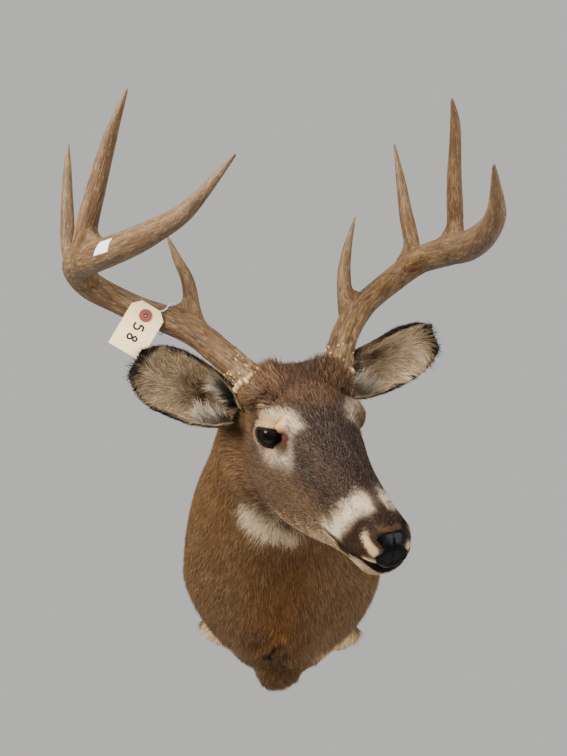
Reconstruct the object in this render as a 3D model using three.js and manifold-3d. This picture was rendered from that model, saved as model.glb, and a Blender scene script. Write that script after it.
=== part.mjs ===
// A whitetail buck shoulder mount: head turned to its left, eight-point rack, lot tag on one antler.
// Millimetres. The wall is the plane Y = 0 and the animal reaches out along -Y; +X is the buck's
// left, +Z is up, and the origin is the middle of the back board's wall face.

import * as THREE from 'three';
import { mergeVertices } from 'three/addons/utils/BufferGeometryUtils.js';
import Module from 'manifold-3d';

const wasm = await Module();
wasm.setup();

// ---------------------------------------------------------------- driving dimensions
const GAP = 0.35; // clearance between neighbouring solids

const HEAD = { yaw: 24.3, pitch: 28.05, roll: 6.26, eyesAt: [30.1, -330.6, 166.3] };

// Head sections along its own X, from the poll to the nose:
// [x, top, bottom, half width, height of the widest line, squareness above, squareness below]
const HEAD_SECTIONS = [
  [-112, 24, -122, 50, -30, 2.0, 2.0],
  [-92, 44, -130, 58, -16, 2.1, 2.1],
  [-66, 55, -133, 61, -8, 2.4, 2.2],
  [-30, 54, -130, 60, -8, 2.5, 2.3],
  [0, 46, -123, 58, -12, 2.6, 2.4],
  [30, 38, -113, 52, -18, 2.5, 2.5],
  [60, 33, -100, 44, -20, 2.3, 2.5],
  [90, 31, -84, 37, -20, 2.2, 2.5],
  [120, 29, -67, 32, -17, 2.2, 2.5],
  [150, 26, -54, 29, -13, 2.3, 2.5],
  [174, 21, -46, 28, -12, 2.5, 2.5],
  [188, 14, -41, 25, -12, 2.6, 2.5],
  [197, 3, -30, 17, -12, 2.4, 2.3],
];
const HEAD_ENDS = [-112, 197];
// Raised and sunken places of the head: [x, y, z, reach x, reach y, reach z, height]
const HEAD_FORMS = [
  [-4, 60, 23, 24, 15, 12, 12], // brow over the eye
  [9, 49, 7, 15, 13, 12, -9], // hollow before the eye
  [24, 56, -32, 34, 18, 13, 4], // cheekbone
  [-28, 58, -74, 34, 24, 34, 6], // chewing muscle
  [176, 27, 0, 13, 12, 12, 4], // nostril wing
  [-66, 55, 46, 18, 20, 16, 6], // swelling under the antler
  [-62, 32, 54, 20, 15, 14, 10], // tuft of the crown before the antler
];

// Trunk and neck sections from the wall to the throat, each in a plane through a point of the
// nape, a point of the throat line and the X direction: [centre x, nape y, nape z, throat y,
// throat z, half width, height of the widest line as a share, squareness above, squareness below]
const BODY_SECTIONS = [
  [0, 0, 160, 0, -226, 149, 0.40, 2.2, 1.45],
  [0, -28, 166, -44, -236, 149, 0.40, 2.2, 1.5],
  [0, -62, 174, -92, -206, 143, 0.41, 2.2, 1.65],
  [-1, -100, 184, -136, -150, 129, 0.43, 2.15, 1.85],
  [-2, -140, 196, -172, -80, 113, 0.46, 2.1, 2.0],
  [-3, -180, 210, -206, -16, 99, 0.50, 2.1, 2.1],
  [-2, -218, 224, -236, 34, 90, 0.52, 2.1, 2.1],
  [0, -256, 234, -262, 68, 82, 0.54, 2.1, 2.1],
];
const TRUNK_CUT = { y: -96, z: 0, tilt: 24 }; // the neck leaves the trunk here
const BRISKET = { at: [-3, -64, -206], radii: [40, 34, 36] };
const LEG_STUBS = {
  R: { at: [-92, -26, -166], radii: [34, 24, 21], lean: 30 },
  L: { at: [88, -26, -172], radii: [34, 24, 22], lean: -16 },
};

const BOARD = { inset: 12, thickness: 18 };

// The lower jaw and the nose pad, outlined in the head's own X and Z
const JAW_LINE = [[205, -24], [188, -21], [176, -22.5], [164, -28], [138, -37], [116, -39], [70, -66],
  [20, -90], [-24, -106], [-64, -116], [-64, -150], [205, -150]];
const NOSE_PAD = {
  outline: [[176, 30], [183, 8], [187, -8], [183, -31.5], [215, -31.5], [215, 30]],
  halfWidth: 17.5,
};
const NOSTRIL = { at: [184, 20, -3], radii: [9, 5, 6.5], turn: 35 };

const EYE = { at: [-14, 46.5, -0.5], radius: 17.2 };

// Ears: root and tip in the head's own frame, the way the cup faces and the widest half width
const EARS = {
  R: { root: [-70, -67, 2], tip: [-121, -178, 45], faces: [0.89, -0.22, 0.39], halfWidth: 40 },
  L: { root: [-72, 67, 5], tip: [-80, 194, 66], faces: [0.97, -0.15, 0.1], halfWidth: 40 },
};
const EAR_WALL = 5;

// Antlers in the head's own frame. Each point is [x, y, z, radius]; forks are where the nodes part.
const ANTLERS = {
  R: {
    beam: [[-62, -52, 32, 18], [-74, -59, 41, 17.5], [-105, -82, 57, 16.5], [-132, -104, 70, 16.8],
      [-158, -133, 78, 16.3], [-180, -162, 82, 16], [-199, -189, 91, 16.2], [-206, -214, 106, 17],
      [-192, -230, 134, 17.6], [-142, -226, 167, 16.8], [-88, -206, 202, 15], [-38, -186, 238, 12.2],
      [2, -166, 274, 8.6], [32, -133, 336, 1.6]],
    browTine: [[-138, -104, 66, 15.5], [-158, -102, 86, 11], [-178, -104, 117, 8.2], [-192, -113, 138, 5.8],
      [-204, -125, 166, 1.4]],
    secondTine: [[-206, -221, 112, 13], [-231, -232, 132, 11.6], [-258, -230, 175, 9.2],
      [-284, -225, 216, 6.2], [-305, -220, 244, 1.4]],
    thirdTine: [[-146, -230, 164, 16], [-143, -231, 190, 13.6], [-146, -219, 240, 11.2],
      [-147, -204, 296, 8.2], [-142, -188, 348, 1.5]],
  },
  L: {
    beam: [[-62, 50, 32, 18], [-77, 59, 46, 17.5], [-108, 80, 62, 16.8], [-134, 104, 74, 16.8],
      [-159, 132, 79, 16.2], [-180, 158, 82, 16], [-196, 184, 87, 16.4], [-200, 208, 102, 17],
      [-180, 217, 126, 17.6], [-134, 218, 157, 18], [-78, 208, 189, 17.4], [-28, 189, 224, 14.8],
      [10, 168, 264, 11], [38, 129, 327, 1.6]],
    browTine: [[-140, 104, 66, 15.5], [-158, 101, 86, 11.4], [-176, 103, 113, 9], [-192, 110, 138, 6.6],
      [-211, 125, 178, 1.4]],
    secondTine: [[-204, 220, 100, 13], [-228, 229, 126, 11.8], [-252, 225, 163, 9.4], [-276, 222, 201, 6.6],
      [-306, 219, 244, 1.6]],
    thirdTine: [[-132, 230, 156, 17], [-136, 228, 184, 13.6], [-140, 213, 248, 11.6], [-143, 199, 316, 8.2],
      [-142, 186, 346, 1.8]],
  },
};
const FORKS = { second: 0.56, third: 0.69, parting: 0.0004 }; // where the beam is parted, as shares of it
const BURR = { flare: 3.6, at: 16, reach: 9 };

// Manila tag with clipped corners, its eyelet and the string that ties it round the beam
const TAG = {
  length: 62, width: 42, clip: 9, thickness: 0.8, hole: 2.6,
  eyeletFromEnd: 13, eyeletRadius: 7.6, eyeletThickness: 0.7,
};
const TAG_AT = { hole: [-165, -310, 300], down: [-0.51, 0.05, -0.86], faces: [0.06, -0.99, -0.09] };
const STRING = {
  radius: 0.7, slack: 3, beamShare: 0.31, beamRadius: 16.6, wrap: 280,
  atHole: { front: 3, back: 4, tail: [-9, 5] }, // how far its ends stand out of the hole, and beside it
};

const SIDES = { R: -1, L: 1 };

// ---------------------------------------------------------------- materials
const COLOURS = {
  coat: ['#7d6247', 0.95],
  faceCoat: ['#6a5a4c', 0.95],
  paleCoat: ['#cdbb9f', 0.95],
  earCoat: ['#9a8b78', 0.95],
  antler: ['#a08560', 0.55],
  tine: ['#b09670', 0.5],
  glassEye: ['#17110d', 0.08],
  nosePad: ['#17171a', 0.35],
  board: ['#b99a6b', 0.8],
  card: ['#e6d9b4', 0.85],
  eyelet: ['#a8463a', 0.7],
  string: ['#efeae0', 0.9],
};

const model = new THREE.Group();

function addMesh(name, geometry, look) {
  const [colour, roughness] = COLOURS[look];
  geometry.computeVertexNormals();
  const material = new THREE.MeshStandardMaterial({ color: colour, roughness, metalness: 0 });
  const mesh = new THREE.Mesh(geometry, material);
  mesh.name = name;
  model.add(mesh);
}

// ---------------------------------------------------------------- solids and cuts
function signedVolume(positions, index) {
  const [a, b, c] = [new THREE.Vector3(), new THREE.Vector3(), new THREE.Vector3()];
  let volume = 0;
  for (let i = 0; i < index.length; i += 3) {
    a.fromArray(positions, index[i] * 3);
    b.fromArray(positions, index[i + 1] * 3);
    c.fromArray(positions, index[i + 2] * 3);
    volume += a.dot(b.cross(c)) / 6;
  }
  return volume;
}

// A closed geometry becomes a solid, with its faces turned outward.
function toSolid(geometry) {
  const bare = geometry.clone();
  bare.deleteAttribute('normal');
  bare.deleteAttribute('uv');
  const merged = mergeVertices(bare, 1e-3);
  const vertProperties = new Float32Array(merged.attributes.position.array);
  const triVerts = new Uint32Array(merged.index.array);
  if (signedVolume(vertProperties, triVerts) < 0) {
    for (let i = 0; i < triVerts.length; i += 3) {
      [triVerts[i], triVerts[i + 1]] = [triVerts[i + 1], triVerts[i]];
    }
  }
  return new wasm.Manifold(new wasm.Mesh({ numProp: 3, vertProperties, triVerts }));
}

// Only the largest piece is kept, so that a cut leaves no loose crumbs.
function fromSolid(solid) {
  const pieces = solid.decompose().sort((a, b) => b.volume() - a.volume());
  const mesh = pieces[0].getMesh();
  const geometry = new THREE.BufferGeometry();
  geometry.setAttribute('position', new THREE.BufferAttribute(new Float32Array(mesh.vertProperties), 3));
  geometry.setIndex(new THREE.BufferAttribute(new Uint32Array(mesh.triVerts), 1));
  return geometry;
}

// Rings of equally many points become a closed skin with a fan over each end.
function loft(rings) {
  const count = rings[0].length;
  const points = rings.flat();
  const index = [];
  for (let k = 0; k + 1 < rings.length; k++) {
    for (let i = 0; i < count; i++) {
      const [a, b] = [k * count + i, k * count + ((i + 1) % count)];
      index.push(a, b, b + count, a, b + count, a + count);
    }
  }
  const capEnd = (ringStart, flip) => {
    const centre = new THREE.Vector3();
    for (let i = 0; i < count; i++) centre.addScaledVector(points[ringStart + i], 1 / count);
    points.push(centre);
    for (let i = 0; i < count; i++) {
      const [a, b] = [ringStart + i, ringStart + ((i + 1) % count)];
      index.push(...(flip ? [b, a, points.length - 1] : [a, b, points.length - 1]));
    }
  };
  capEnd(0, true);
  capEnd((rings.length - 1) * count, false);
  const geometry = new THREE.BufferGeometry().setFromPoints(points);
  geometry.setIndex(index);
  return geometry;
}

// ---------------------------------------------------------------- the head's own frame
const headMatrix = (() => {
  const [yaw, pitch, roll] = [HEAD.yaw, HEAD.pitch, HEAD.roll].map(THREE.MathUtils.degToRad);
  const forward = new THREE.Vector3(Math.sin(yaw) * Math.cos(pitch), -Math.cos(yaw) * Math.cos(pitch),
    -Math.sin(pitch));
  const level = new THREE.Vector3(Math.cos(yaw), Math.sin(yaw), 0);
  const left = level.clone().applyAxisAngle(forward, roll);
  const up = forward.clone().cross(left);
  return new THREE.Matrix4().makeBasis(forward, left, up).setPosition(...HEAD.eyesAt);
})();
const inHead = (point) => new THREE.Vector3(...point).applyMatrix4(headMatrix);
const headDirection = (vector) => new THREE.Vector3(...vector).transformDirection(headMatrix);

// Smooth values between the rows of a table, by its first column
function smoothTable(rows) {
  const slope = (k, column) => {
    const [low, high] = [Math.max(k - 1, 0), Math.min(k + 1, rows.length - 1)];
    return (rows[high][column] - rows[low][column]) / (rows[high][0] - rows[low][0]);
  };
  return (x) => {
    let k = 0;
    while (k < rows.length - 2 && x > rows[k + 1][0]) k++;
    const span = rows[k + 1][0] - rows[k][0];
    const t = THREE.MathUtils.clamp((x - rows[k][0]) / span, 0, 1);
    const [t2, t3] = [t * t, t * t * t];
    return rows[k].map((_, column) => (2 * t3 - 3 * t2 + 1) * rows[k][column]
      + (t3 - 2 * t2 + t) * span * slope(k, column)
      + (3 * t2 - 2 * t3) * rows[k + 1][column]
      + (t3 - t2) * span * slope(k + 1, column));
  };
}

const power = (value, exponent) => Math.sign(value) * Math.abs(value) ** exponent;

// One superellipse section: side and height of the point at a turn of 0..1
function sectionPoint(turn, halfWidth, top, bottom, middle, squareAbove, squareBelow) {
  const angle = turn * 2 * Math.PI;
  const [c, s] = [Math.cos(angle), Math.sin(angle)];
  const square = s >= 0 ? squareAbove : squareBelow;
  const reach = s >= 0 ? top - middle : middle - bottom;
  return [halfWidth * power(c, 2 / square), middle + reach * power(s, 2 / square)];
}

// ---------------------------------------------------------------- head, neck and trunk as one form
function headRaise(x, y, z) {
  return HEAD_FORMS.reduce((sum, [cx, cy, cz, rx, ry, rz, height]) => sum + height * Math.exp(
    -(((x - cx) / rx) ** 2) - (((Math.abs(y) - cy) / ry) ** 2) - (((z - cz) / rz) ** 2)), 0);
}

function headForm(grow = 0) {
  const section = smoothTable(HEAD_SECTIONS);
  const stations = [-98, -80, -60, -42, -26, -10, 6, 22, 38, 56, 78, 102, 126, 148, 164, 176, 186, 192];
  const around = 24;
  return loft([HEAD_ENDS[0] - grow, ...stations, HEAD_ENDS[1] + grow].map((x) => {
    const [, top, bottom, halfWidth, middle, squareAbove, squareBelow] = section(x);
    return Array.from({ length: around }, (_, i) => {
      const [y, z] = sectionPoint(i / around, halfWidth, top, bottom, middle, squareAbove, squareBelow);
      const out = new THREE.Vector2(y, z - middle);
      out.setLength(out.length() + headRaise(x, y, z) + grow);
      return inHead([x, out.x, out.y + middle]);
    });
  }));
}

function bodySection(share) {
  const last = BODY_SECTIONS.length - 1;
  const rows = BODY_SECTIONS.map((row, k) => [k / last, ...row]);
  return smoothTable(rows)(share);
}

function bodyForm(grow = 0) {
  const [around, steps] = [28, 16];
  const ring = (share) => {
    const [, cx, napeY, napeZ, throatY, throatZ, halfWidth, widest, above, below] = bodySection(share);
    const [rise, reach] = [napeZ - throatZ, napeY - throatY];
    const spread = grow / Math.hypot(rise, reach);
    return Array.from({ length: around }, (_, i) => {
      const [x, height] = sectionPoint(i / around, halfWidth + grow, 1 + spread, -spread, widest,
        above, below);
      return new THREE.Vector3(cx + x, throatY + reach * height, throatZ + rise * height);
    });
  };
  return loft(Array.from({ length: steps + 1 }, (_, k) => ring(k / steps)));
}

function ellipsoid({ at, radii, lean = 0 }, widthSegments = 12, heightSegments = 8) {
  const shape = new THREE.SphereGeometry(1, widthSegments, heightSegments);
  shape.scale(...radii);
  shape.rotateY(THREE.MathUtils.degToRad(lean));
  shape.translate(...at);
  return shape;
}

// A slab far larger than the animal, with one face through a point, square to a direction.
// It is the space on the far side of that face, moved on by a clearance.
function halfSpace(point, direction, clearance) {
  const size = 1600;
  const shape = new THREE.BoxGeometry(size, size, size);
  shape.translate(0, 0, size / 2);
  shape.applyQuaternion(new THREE.Quaternion().setFromUnitVectors(new THREE.Vector3(0, 0, 1), direction));
  shape.translate(...point.clone().addScaledVector(direction, clearance).toArray());
  return toSolid(shape);
}

// An outline moved outward all round, its corners kept sharp
function grownOutline(outline, grow) {
  const points = outline.map((p) => new THREE.Vector2(...p));
  const turn = THREE.ShapeUtils.isClockWise(points) ? -1 : 1;
  const outward = (from, to) => {
    const edge = to.clone().sub(from).normalize();
    return new THREE.Vector2(edge.y, -edge.x).multiplyScalar(turn);
  };
  return points.map((point, i) => {
    const before = outward(points.at(i - 1), point);
    const after = outward(point, points[(i + 1) % points.length]);
    const middle = before.clone().add(after).normalize();
    return point.clone().addScaledVector(middle, grow / middle.dot(before));
  });
}

// A prism on an outline in the head's X and Z, from one side to the other
function headPrism(outline, halfWidth, grow = 0) {
  const shape = new THREE.ExtrudeGeometry(new THREE.Shape(grownOutline(outline, grow)),
    { depth: 2 * (halfWidth + grow), bevelEnabled: false, steps: 1 });
  shape.rotateX(Math.PI / 2);
  shape.translate(0, halfWidth + grow, 0);
  return toSolid(shape.applyMatrix4(headMatrix));
}

const headSolid = toSolid(headForm());
const headSkin = toSolid(headForm(GAP));
const wallSide = halfSpace(new THREE.Vector3(0, 0, 0), new THREE.Vector3(0, 1, 0), 0);
const body = toSolid(bodyForm()).add(toSolid(ellipsoid(BRISKET))).subtract(wallSide).subtract(headSkin);
const bodySkin = toSolid(bodyForm(GAP));

const trunkTilt = THREE.MathUtils.degToRad(TRUNK_CUT.tilt);
const trunkCutPoint = new THREE.Vector3(0, TRUNK_CUT.y, TRUNK_CUT.z);
const trunkCutDirection = new THREE.Vector3(0, -Math.cos(trunkTilt), Math.sin(trunkTilt));
const beforeTrunkCut = halfSpace(trunkCutPoint, trunkCutDirection, GAP / 2);
const behindTrunkCut = halfSpace(trunkCutPoint, trunkCutDirection.clone().negate(), GAP / 2);

// ---------------------------------------------------------------- antlers
// A round stem along smooth control points, between two shares of its length
function stem(points, { from = 0, to = 1, rings = 12, sides = 10, grow = 0, burr = false }) {
  const line = new THREE.CatmullRomCurve3(points.map((p) => inHead(p)), false, 'centripetal');
  const radiusAt = (t) => {
    const place = t * (points.length - 1);
    const k = Math.min(Math.floor(place), points.length - 2);
    return THREE.MathUtils.lerp(points[k][3], points[k + 1][3], place - k);
  };
  const shares = Array.from({ length: rings + 1 }, (_, k) => from + ((to - from) * k) / rings);
  let across = null;
  return loft(shares.map((t) => {
    const centre = line.getPoint(t);
    const along = line.getTangent(t);
    if (!across) across = new THREE.Vector3(0, 0, 1);
    across = across.clone().addScaledVector(along, -across.dot(along)).normalize();
    const other = along.clone().cross(across);
    const reach = line.getLength() * t;
    const flare = burr ? BURR.flare * Math.exp(-(((reach - BURR.at) / BURR.reach) ** 2)) : 0;
    const radius = radiusAt(t) + flare + grow;
    return Array.from({ length: sides }, (_, i) => {
      const angle = (i / sides) * 2 * Math.PI;
      return centre.clone().addScaledVector(across, radius * Math.cos(angle))
        .addScaledVector(other, radius * Math.sin(angle));
    });
  }));
}

// The beam in its three lengths, parted just below each of the two upper forks. The grown lengths
// run on over the partings, so that together they clear the whole beam.
function beamLengths(side, grow = 0) {
  const { beam } = ANTLERS[side];
  const { second, third } = FORKS;
  const parting = grow > 0 ? -FORKS.parting : FORKS.parting;
  return {
    base: toSolid(stem(beam, { from: 0, to: second - parting, rings: 12, burr: true, grow })),
    middle: toSolid(stem(beam, { from: second + parting, to: third - parting, rings: 4, grow })),
    beam_end: toSolid(stem(beam, { from: third + parting, to: 1, rings: 10, grow })),
  };
}

const beamSkin = {};
for (const side of Object.keys(SIDES)) {
  const lengths = Object.values(beamLengths(side, GAP));
  beamSkin[side] = lengths[0].add(lengths[1]).add(lengths[2]);
}

function addAntler(side) {
  for (const [name, solid] of Object.entries(beamLengths(side))) {
    addMesh(`antler_${side}_${name}`, fromSolid(solid.subtract(headSkin)), 'antler');
  }
  const tines = { brow_tine: 'browTine', second_tine: 'secondTine', third_tine: 'thirdTine' };
  for (const [name, key] of Object.entries(tines)) {
    const solid = toSolid(stem(ANTLERS[side][key], { rings: 8, sides: 8 }));
    addMesh(`antler_${side}_${name}`, fromSolid(solid.subtract(beamSkin[side])), 'tine');
  }
}

// ---------------------------------------------------------------- ears
// A cupped leaf: nearly a tube at the root, open and flat towards the tip
function earForm({ root, tip, faces, halfWidth }) {
  const [start, end] = [inHead(root), inHead(tip)];
  const along = end.clone().sub(start);
  const length = along.length();
  along.normalize();
  const facing = headDirection(faces);
  facing.addScaledVector(along, -facing.dot(along)).normalize();
  const across = along.clone().cross(facing);
  const [lengthwise, crosswise] = [10, 8];
  const width = smoothTable([[0, 0.46], [0.2, 0.78], [0.45, 1], [0.68, 0.97], [0.86, 0.76], [1, 0.36]]);
  const wrap = smoothTable([[0, 150], [0.2, 112], [0.45, 78], [0.75, 56], [1, 40]]);
  const surface = (thickness) => {
    const rows = [];
    for (let k = 0; k <= lengthwise; k++) {
      const u = k / lengthwise;
      const halfAngle = THREE.MathUtils.degToRad(wrap(u)[1]);
      const radius = (halfWidth * width(u)[1]) / Math.sin(Math.min(halfAngle, Math.PI / 2));
      for (let i = 0; i <= crosswise; i++) {
        const angle = halfAngle * ((2 * i) / crosswise - 1);
        const point = start.clone().addScaledVector(along, u * length);
        point.addScaledVector(across, (radius + thickness) * Math.sin(angle));
        point.addScaledVector(facing, radius * Math.cos(halfAngle) - (radius + thickness) * Math.cos(angle));
        rows.push(point);
      }
    }
    return rows;
  };
  const back = surface(EAR_WALL / 2);
  const front = surface(-EAR_WALL / 2);
  const points = [...back, ...front];
  const [rowSize, shift] = [crosswise + 1, back.length];
  const index = [];
  const quad = (a, b, c, d) => index.push(a, b, c, a, c, d);
  for (let k = 0; k < lengthwise; k++) {
    for (let i = 0; i < crosswise; i++) {
      const a = k * rowSize + i;
      quad(a, a + 1, a + rowSize + 1, a + rowSize);
      quad(shift + a, shift + a + rowSize, shift + a + rowSize + 1, shift + a + 1);
    }
    const [edge, farEdge] = [k * rowSize, k * rowSize + crosswise];
    quad(edge, edge + rowSize, shift + edge + rowSize, shift + edge);
    quad(farEdge + rowSize, farEdge, shift + farEdge, shift + farEdge + rowSize);
  }
  const lastRow = lengthwise * rowSize;
  for (let i = 0; i < crosswise; i++) {
    quad(i + 1, i, shift + i, shift + i + 1);
    quad(lastRow + i, lastRow + i + 1, shift + lastRow + i + 1, shift + lastRow + i);
  }
  const geometry = new THREE.BufferGeometry().setFromPoints(points);
  geometry.setIndex(index);
  return geometry;
}

// ---------------------------------------------------------------- assembly
function addHead() {
  const pastHead = 120; // half of a width that takes in the whole head
  const jawSpace = headPrism(JAW_LINE, pastHead);
  const jawSpaceGrown = headPrism(JAW_LINE, pastHead, GAP);
  const padSpace = headPrism(NOSE_PAD.outline, NOSE_PAD.halfWidth);
  const padSpaceGrown = headPrism(NOSE_PAD.outline, NOSE_PAD.halfWidth, GAP);
  let head = headSolid.subtract(jawSpaceGrown).subtract(padSpaceGrown);
  for (const [side, sign] of Object.entries(SIDES)) {
    const [x, y, z] = EYE.at;
    const ball = new THREE.SphereGeometry(EYE.radius, 14, 8).translate(x, sign * y, z)
      .applyMatrix4(headMatrix);
    const socket = new THREE.SphereGeometry(EYE.radius + GAP, 14, 8).translate(x, sign * y, z)
      .applyMatrix4(headMatrix);
    head = head.subtract(toSolid(socket));
    addMesh(`eye_${side}`, fromSolid(toSolid(ball)), 'glassEye');
    const nostril = new THREE.SphereGeometry(1, 10, 6).scale(...NOSTRIL.radii)
      .rotateZ(THREE.MathUtils.degToRad(-sign * NOSTRIL.turn))
      .translate(NOSTRIL.at[0], sign * NOSTRIL.at[1], NOSTRIL.at[2]).applyMatrix4(headMatrix);
    head = head.subtract(toSolid(nostril));
  }
  addMesh('head', fromSolid(head), 'faceCoat');
  addMesh('lower_jaw', fromSolid(headSolid.intersect(jawSpace)), 'paleCoat');
  addMesh('nose_pad', fromSolid(headSolid.intersect(padSpace).subtract(jawSpaceGrown)), 'nosePad');
}

// The board's outline is the trunk's at the wall, set in all round.
function boardPlate(inset, thickness) {
  const [, , , napeZ, , throatZ, halfWidth, widest, above, below] = bodySection(0);
  const middle = throatZ + (napeZ - throatZ) * widest;
  const corners = 36;
  const outline = Array.from({ length: corners }, (_, i) => new THREE.Vector2(...sectionPoint(i / corners,
    halfWidth - inset, napeZ - inset, throatZ + inset, middle, above, below)));
  const plate = { depth: thickness, bevelEnabled: false, steps: 1 };
  return new THREE.ExtrudeGeometry(new THREE.Shape(outline), plate).rotateX(Math.PI / 2);
}

function addBody() {
  addMesh('neck', fromSolid(body.intersect(beforeTrunkCut)), 'coat');
  const pastWall = 1;
  const pocketDepth = BOARD.thickness + GAP + pastWall;
  const pocket = toSolid(boardPlate(BOARD.inset - GAP, pocketDepth).translate(0, pastWall, 0));
  let trunk = body.intersect(behindTrunkCut).subtract(pocket);
  for (const [side, stub] of Object.entries(LEG_STUBS)) {
    const grown = { ...stub, radii: stub.radii.map((r) => r + GAP) };
    trunk = trunk.subtract(toSolid(ellipsoid(grown)));
    const solid = toSolid(ellipsoid(stub)).subtract(wallSide).subtract(pocket);
    addMesh(`foreleg_stub_${side}`, fromSolid(solid), 'paleCoat');
  }
  addMesh('trunk', fromSolid(trunk), 'coat');
  addMesh('back_board', fromSolid(toSolid(boardPlate(BOARD.inset, BOARD.thickness))), 'board');
}

function addEars() {
  for (const [side, ear] of Object.entries(EARS)) {
    const solid = toSolid(earForm(ear)).subtract(headSkin).subtract(bodySkin).subtract(beamSkin[side]);
    addMesh(`ear_${side}`, fromSolid(solid), 'earCoat');
  }
}

// A basis whose Z runs down the tag, whose Y is the way its written side faces
function tagMatrix() {
  const down = new THREE.Vector3(...TAG_AT.down).normalize();
  const facing = new THREE.Vector3(...TAG_AT.faces);
  facing.addScaledVector(down, -facing.dot(down)).normalize();
  return new THREE.Matrix4().makeBasis(facing.clone().cross(down), facing, down).setPosition(...TAG_AT.hole);
}

function disc(radius, thickness, sides) {
  return new THREE.CylinderGeometry(radius, radius, thickness, sides);
}

function addTag() {
  const { length, width, clip, thickness, eyeletFromEnd, eyeletRadius, eyeletThickness, hole } = TAG;
  const [half, top] = [width / 2, -eyeletFromEnd];
  const outline = [[half - clip, top], [half, top + clip], [half, top + length], [-half, top + length],
    [-half, top + clip], [clip - half, top]];
  const card = new THREE.ExtrudeGeometry(new THREE.Shape(outline.map(([x, z]) => new THREE.Vector2(x, z))),
    { depth: thickness, bevelEnabled: false, steps: 1 }).rotateX(Math.PI / 2).translate(0, thickness / 2, 0);
  const frame = tagMatrix();
  const throughCard = 6; // well over the thickness of card and eyelet
  const opening = toSolid(disc(hole, throughCard, 12).applyMatrix4(frame));
  addMesh('lot_tag', fromSolid(toSolid(card.applyMatrix4(frame)).subtract(opening)), 'card');
  const ring = disc(eyeletRadius, eyeletThickness, 16)
    .translate(0, thickness / 2 + eyeletThickness / 2 + GAP, 0).applyMatrix4(frame);
  addMesh('tag_eyelet', fromSolid(toSolid(ring).subtract(opening)), 'eyelet');
}

// The string goes round the beam beside the tag, with both its ends through the eyelet.
function addString() {
  const beam = new THREE.CatmullRomCurve3(ANTLERS.R.beam.map((p) => inHead(p)), false, 'centripetal');
  const centre = beam.getPoint(STRING.beamShare);
  const along = beam.getTangent(STRING.beamShare);
  const toTag = new THREE.Vector3(...TAG_AT.hole).sub(centre);
  toTag.addScaledVector(along, -toTag.dot(along)).normalize();
  const side = along.clone().cross(toTag);
  const loop = STRING.beamRadius + STRING.slack;
  const round = Array.from({ length: 11 }, (_, i) => {
    const angle = ((i - 5) / 5) * THREE.MathUtils.degToRad(STRING.wrap / 2);
    return centre.clone().addScaledVector(toTag, -loop * Math.cos(angle))
      .addScaledVector(side, loop * Math.sin(angle));
  });
  const hole = new THREE.Vector3(...TAG_AT.hole);
  const forward = new THREE.Vector3(...TAG_AT.faces).normalize();
  const besideHole = (out, aside) => hole.clone().addScaledVector(forward, out).addScaledVector(along, aside);
  const { front, back, tail } = STRING.atHole;
  const path = [besideHole(front, 0), besideHole(-back, 0), ...round, besideHole(...tail)];
  const line = new THREE.CatmullRomCurve3(path, false, 'centripetal');
  const rings = 30;
  const shares = Array.from({ length: rings + 1 }, (_, k) => k / rings);
  let across = new THREE.Vector3(0.3, 0.2, 1);
  const tube = loft(shares.map((t) => {
    const middle = line.getPointAt(t);
    const direction = line.getTangentAt(t);
    across = across.clone().addScaledVector(direction, -across.dot(direction)).normalize();
    const other = direction.clone().cross(across);
    return Array.from({ length: 6 }, (_, i) => {
      const angle = (i / 6) * 2 * Math.PI;
      return middle.clone().addScaledVector(across, STRING.radius * Math.cos(angle))
        .addScaledVector(other, STRING.radius * Math.sin(angle));
    });
  }));
  addMesh('tag_string', fromSolid(toSolid(tube)), 'string');
}

addBody();
addHead();
addEars();
for (const side of Object.keys(SIDES)) addAntler(side);
addTag();
addString();

export default model;
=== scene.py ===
"""Whitetail buck shoulder mount: one skin and its coat, antlers, ears, eyes, nose, tag and board.

Sizes are millimetres in the frame's axes (+X the buck's left, -Y out of the wall, +Z up) and turn into
metres when a mesh is made. "Head" places count from the point midway between the eyes: x towards the
nose, y to the buck's left, z up; a mirrored head place has y turned positive, so that it serves both sides.
Colours are linear red, green and blue.
"""
import math

import bmesh
import bpy
import numpy as np
from mathutils import Matrix, Vector
from mathutils.bvhtree import BVHTree


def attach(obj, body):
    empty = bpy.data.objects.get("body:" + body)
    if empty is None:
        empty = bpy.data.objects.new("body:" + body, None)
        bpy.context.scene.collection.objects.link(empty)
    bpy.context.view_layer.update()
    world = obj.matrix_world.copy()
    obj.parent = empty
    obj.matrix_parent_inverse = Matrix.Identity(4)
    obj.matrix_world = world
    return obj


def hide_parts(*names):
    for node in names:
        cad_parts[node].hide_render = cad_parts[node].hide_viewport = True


MM = 0.001
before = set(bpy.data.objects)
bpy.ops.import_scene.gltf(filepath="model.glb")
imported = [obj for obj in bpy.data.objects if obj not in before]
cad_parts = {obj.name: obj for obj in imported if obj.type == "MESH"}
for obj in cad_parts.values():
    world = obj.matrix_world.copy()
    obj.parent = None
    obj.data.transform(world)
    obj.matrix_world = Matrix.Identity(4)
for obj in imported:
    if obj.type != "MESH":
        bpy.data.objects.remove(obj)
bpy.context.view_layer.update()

# ---------------------------------------------------------------- sizes of the object
# They are the solids' own sizes, except that the burrs, some tines and the ears differ by a few millimetres.
YAW, PITCH, ROLL = np.radians([24.3, 28.05, 6.26])
EYES_AT = np.array([30.1, -330.6, 166.3])
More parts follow.
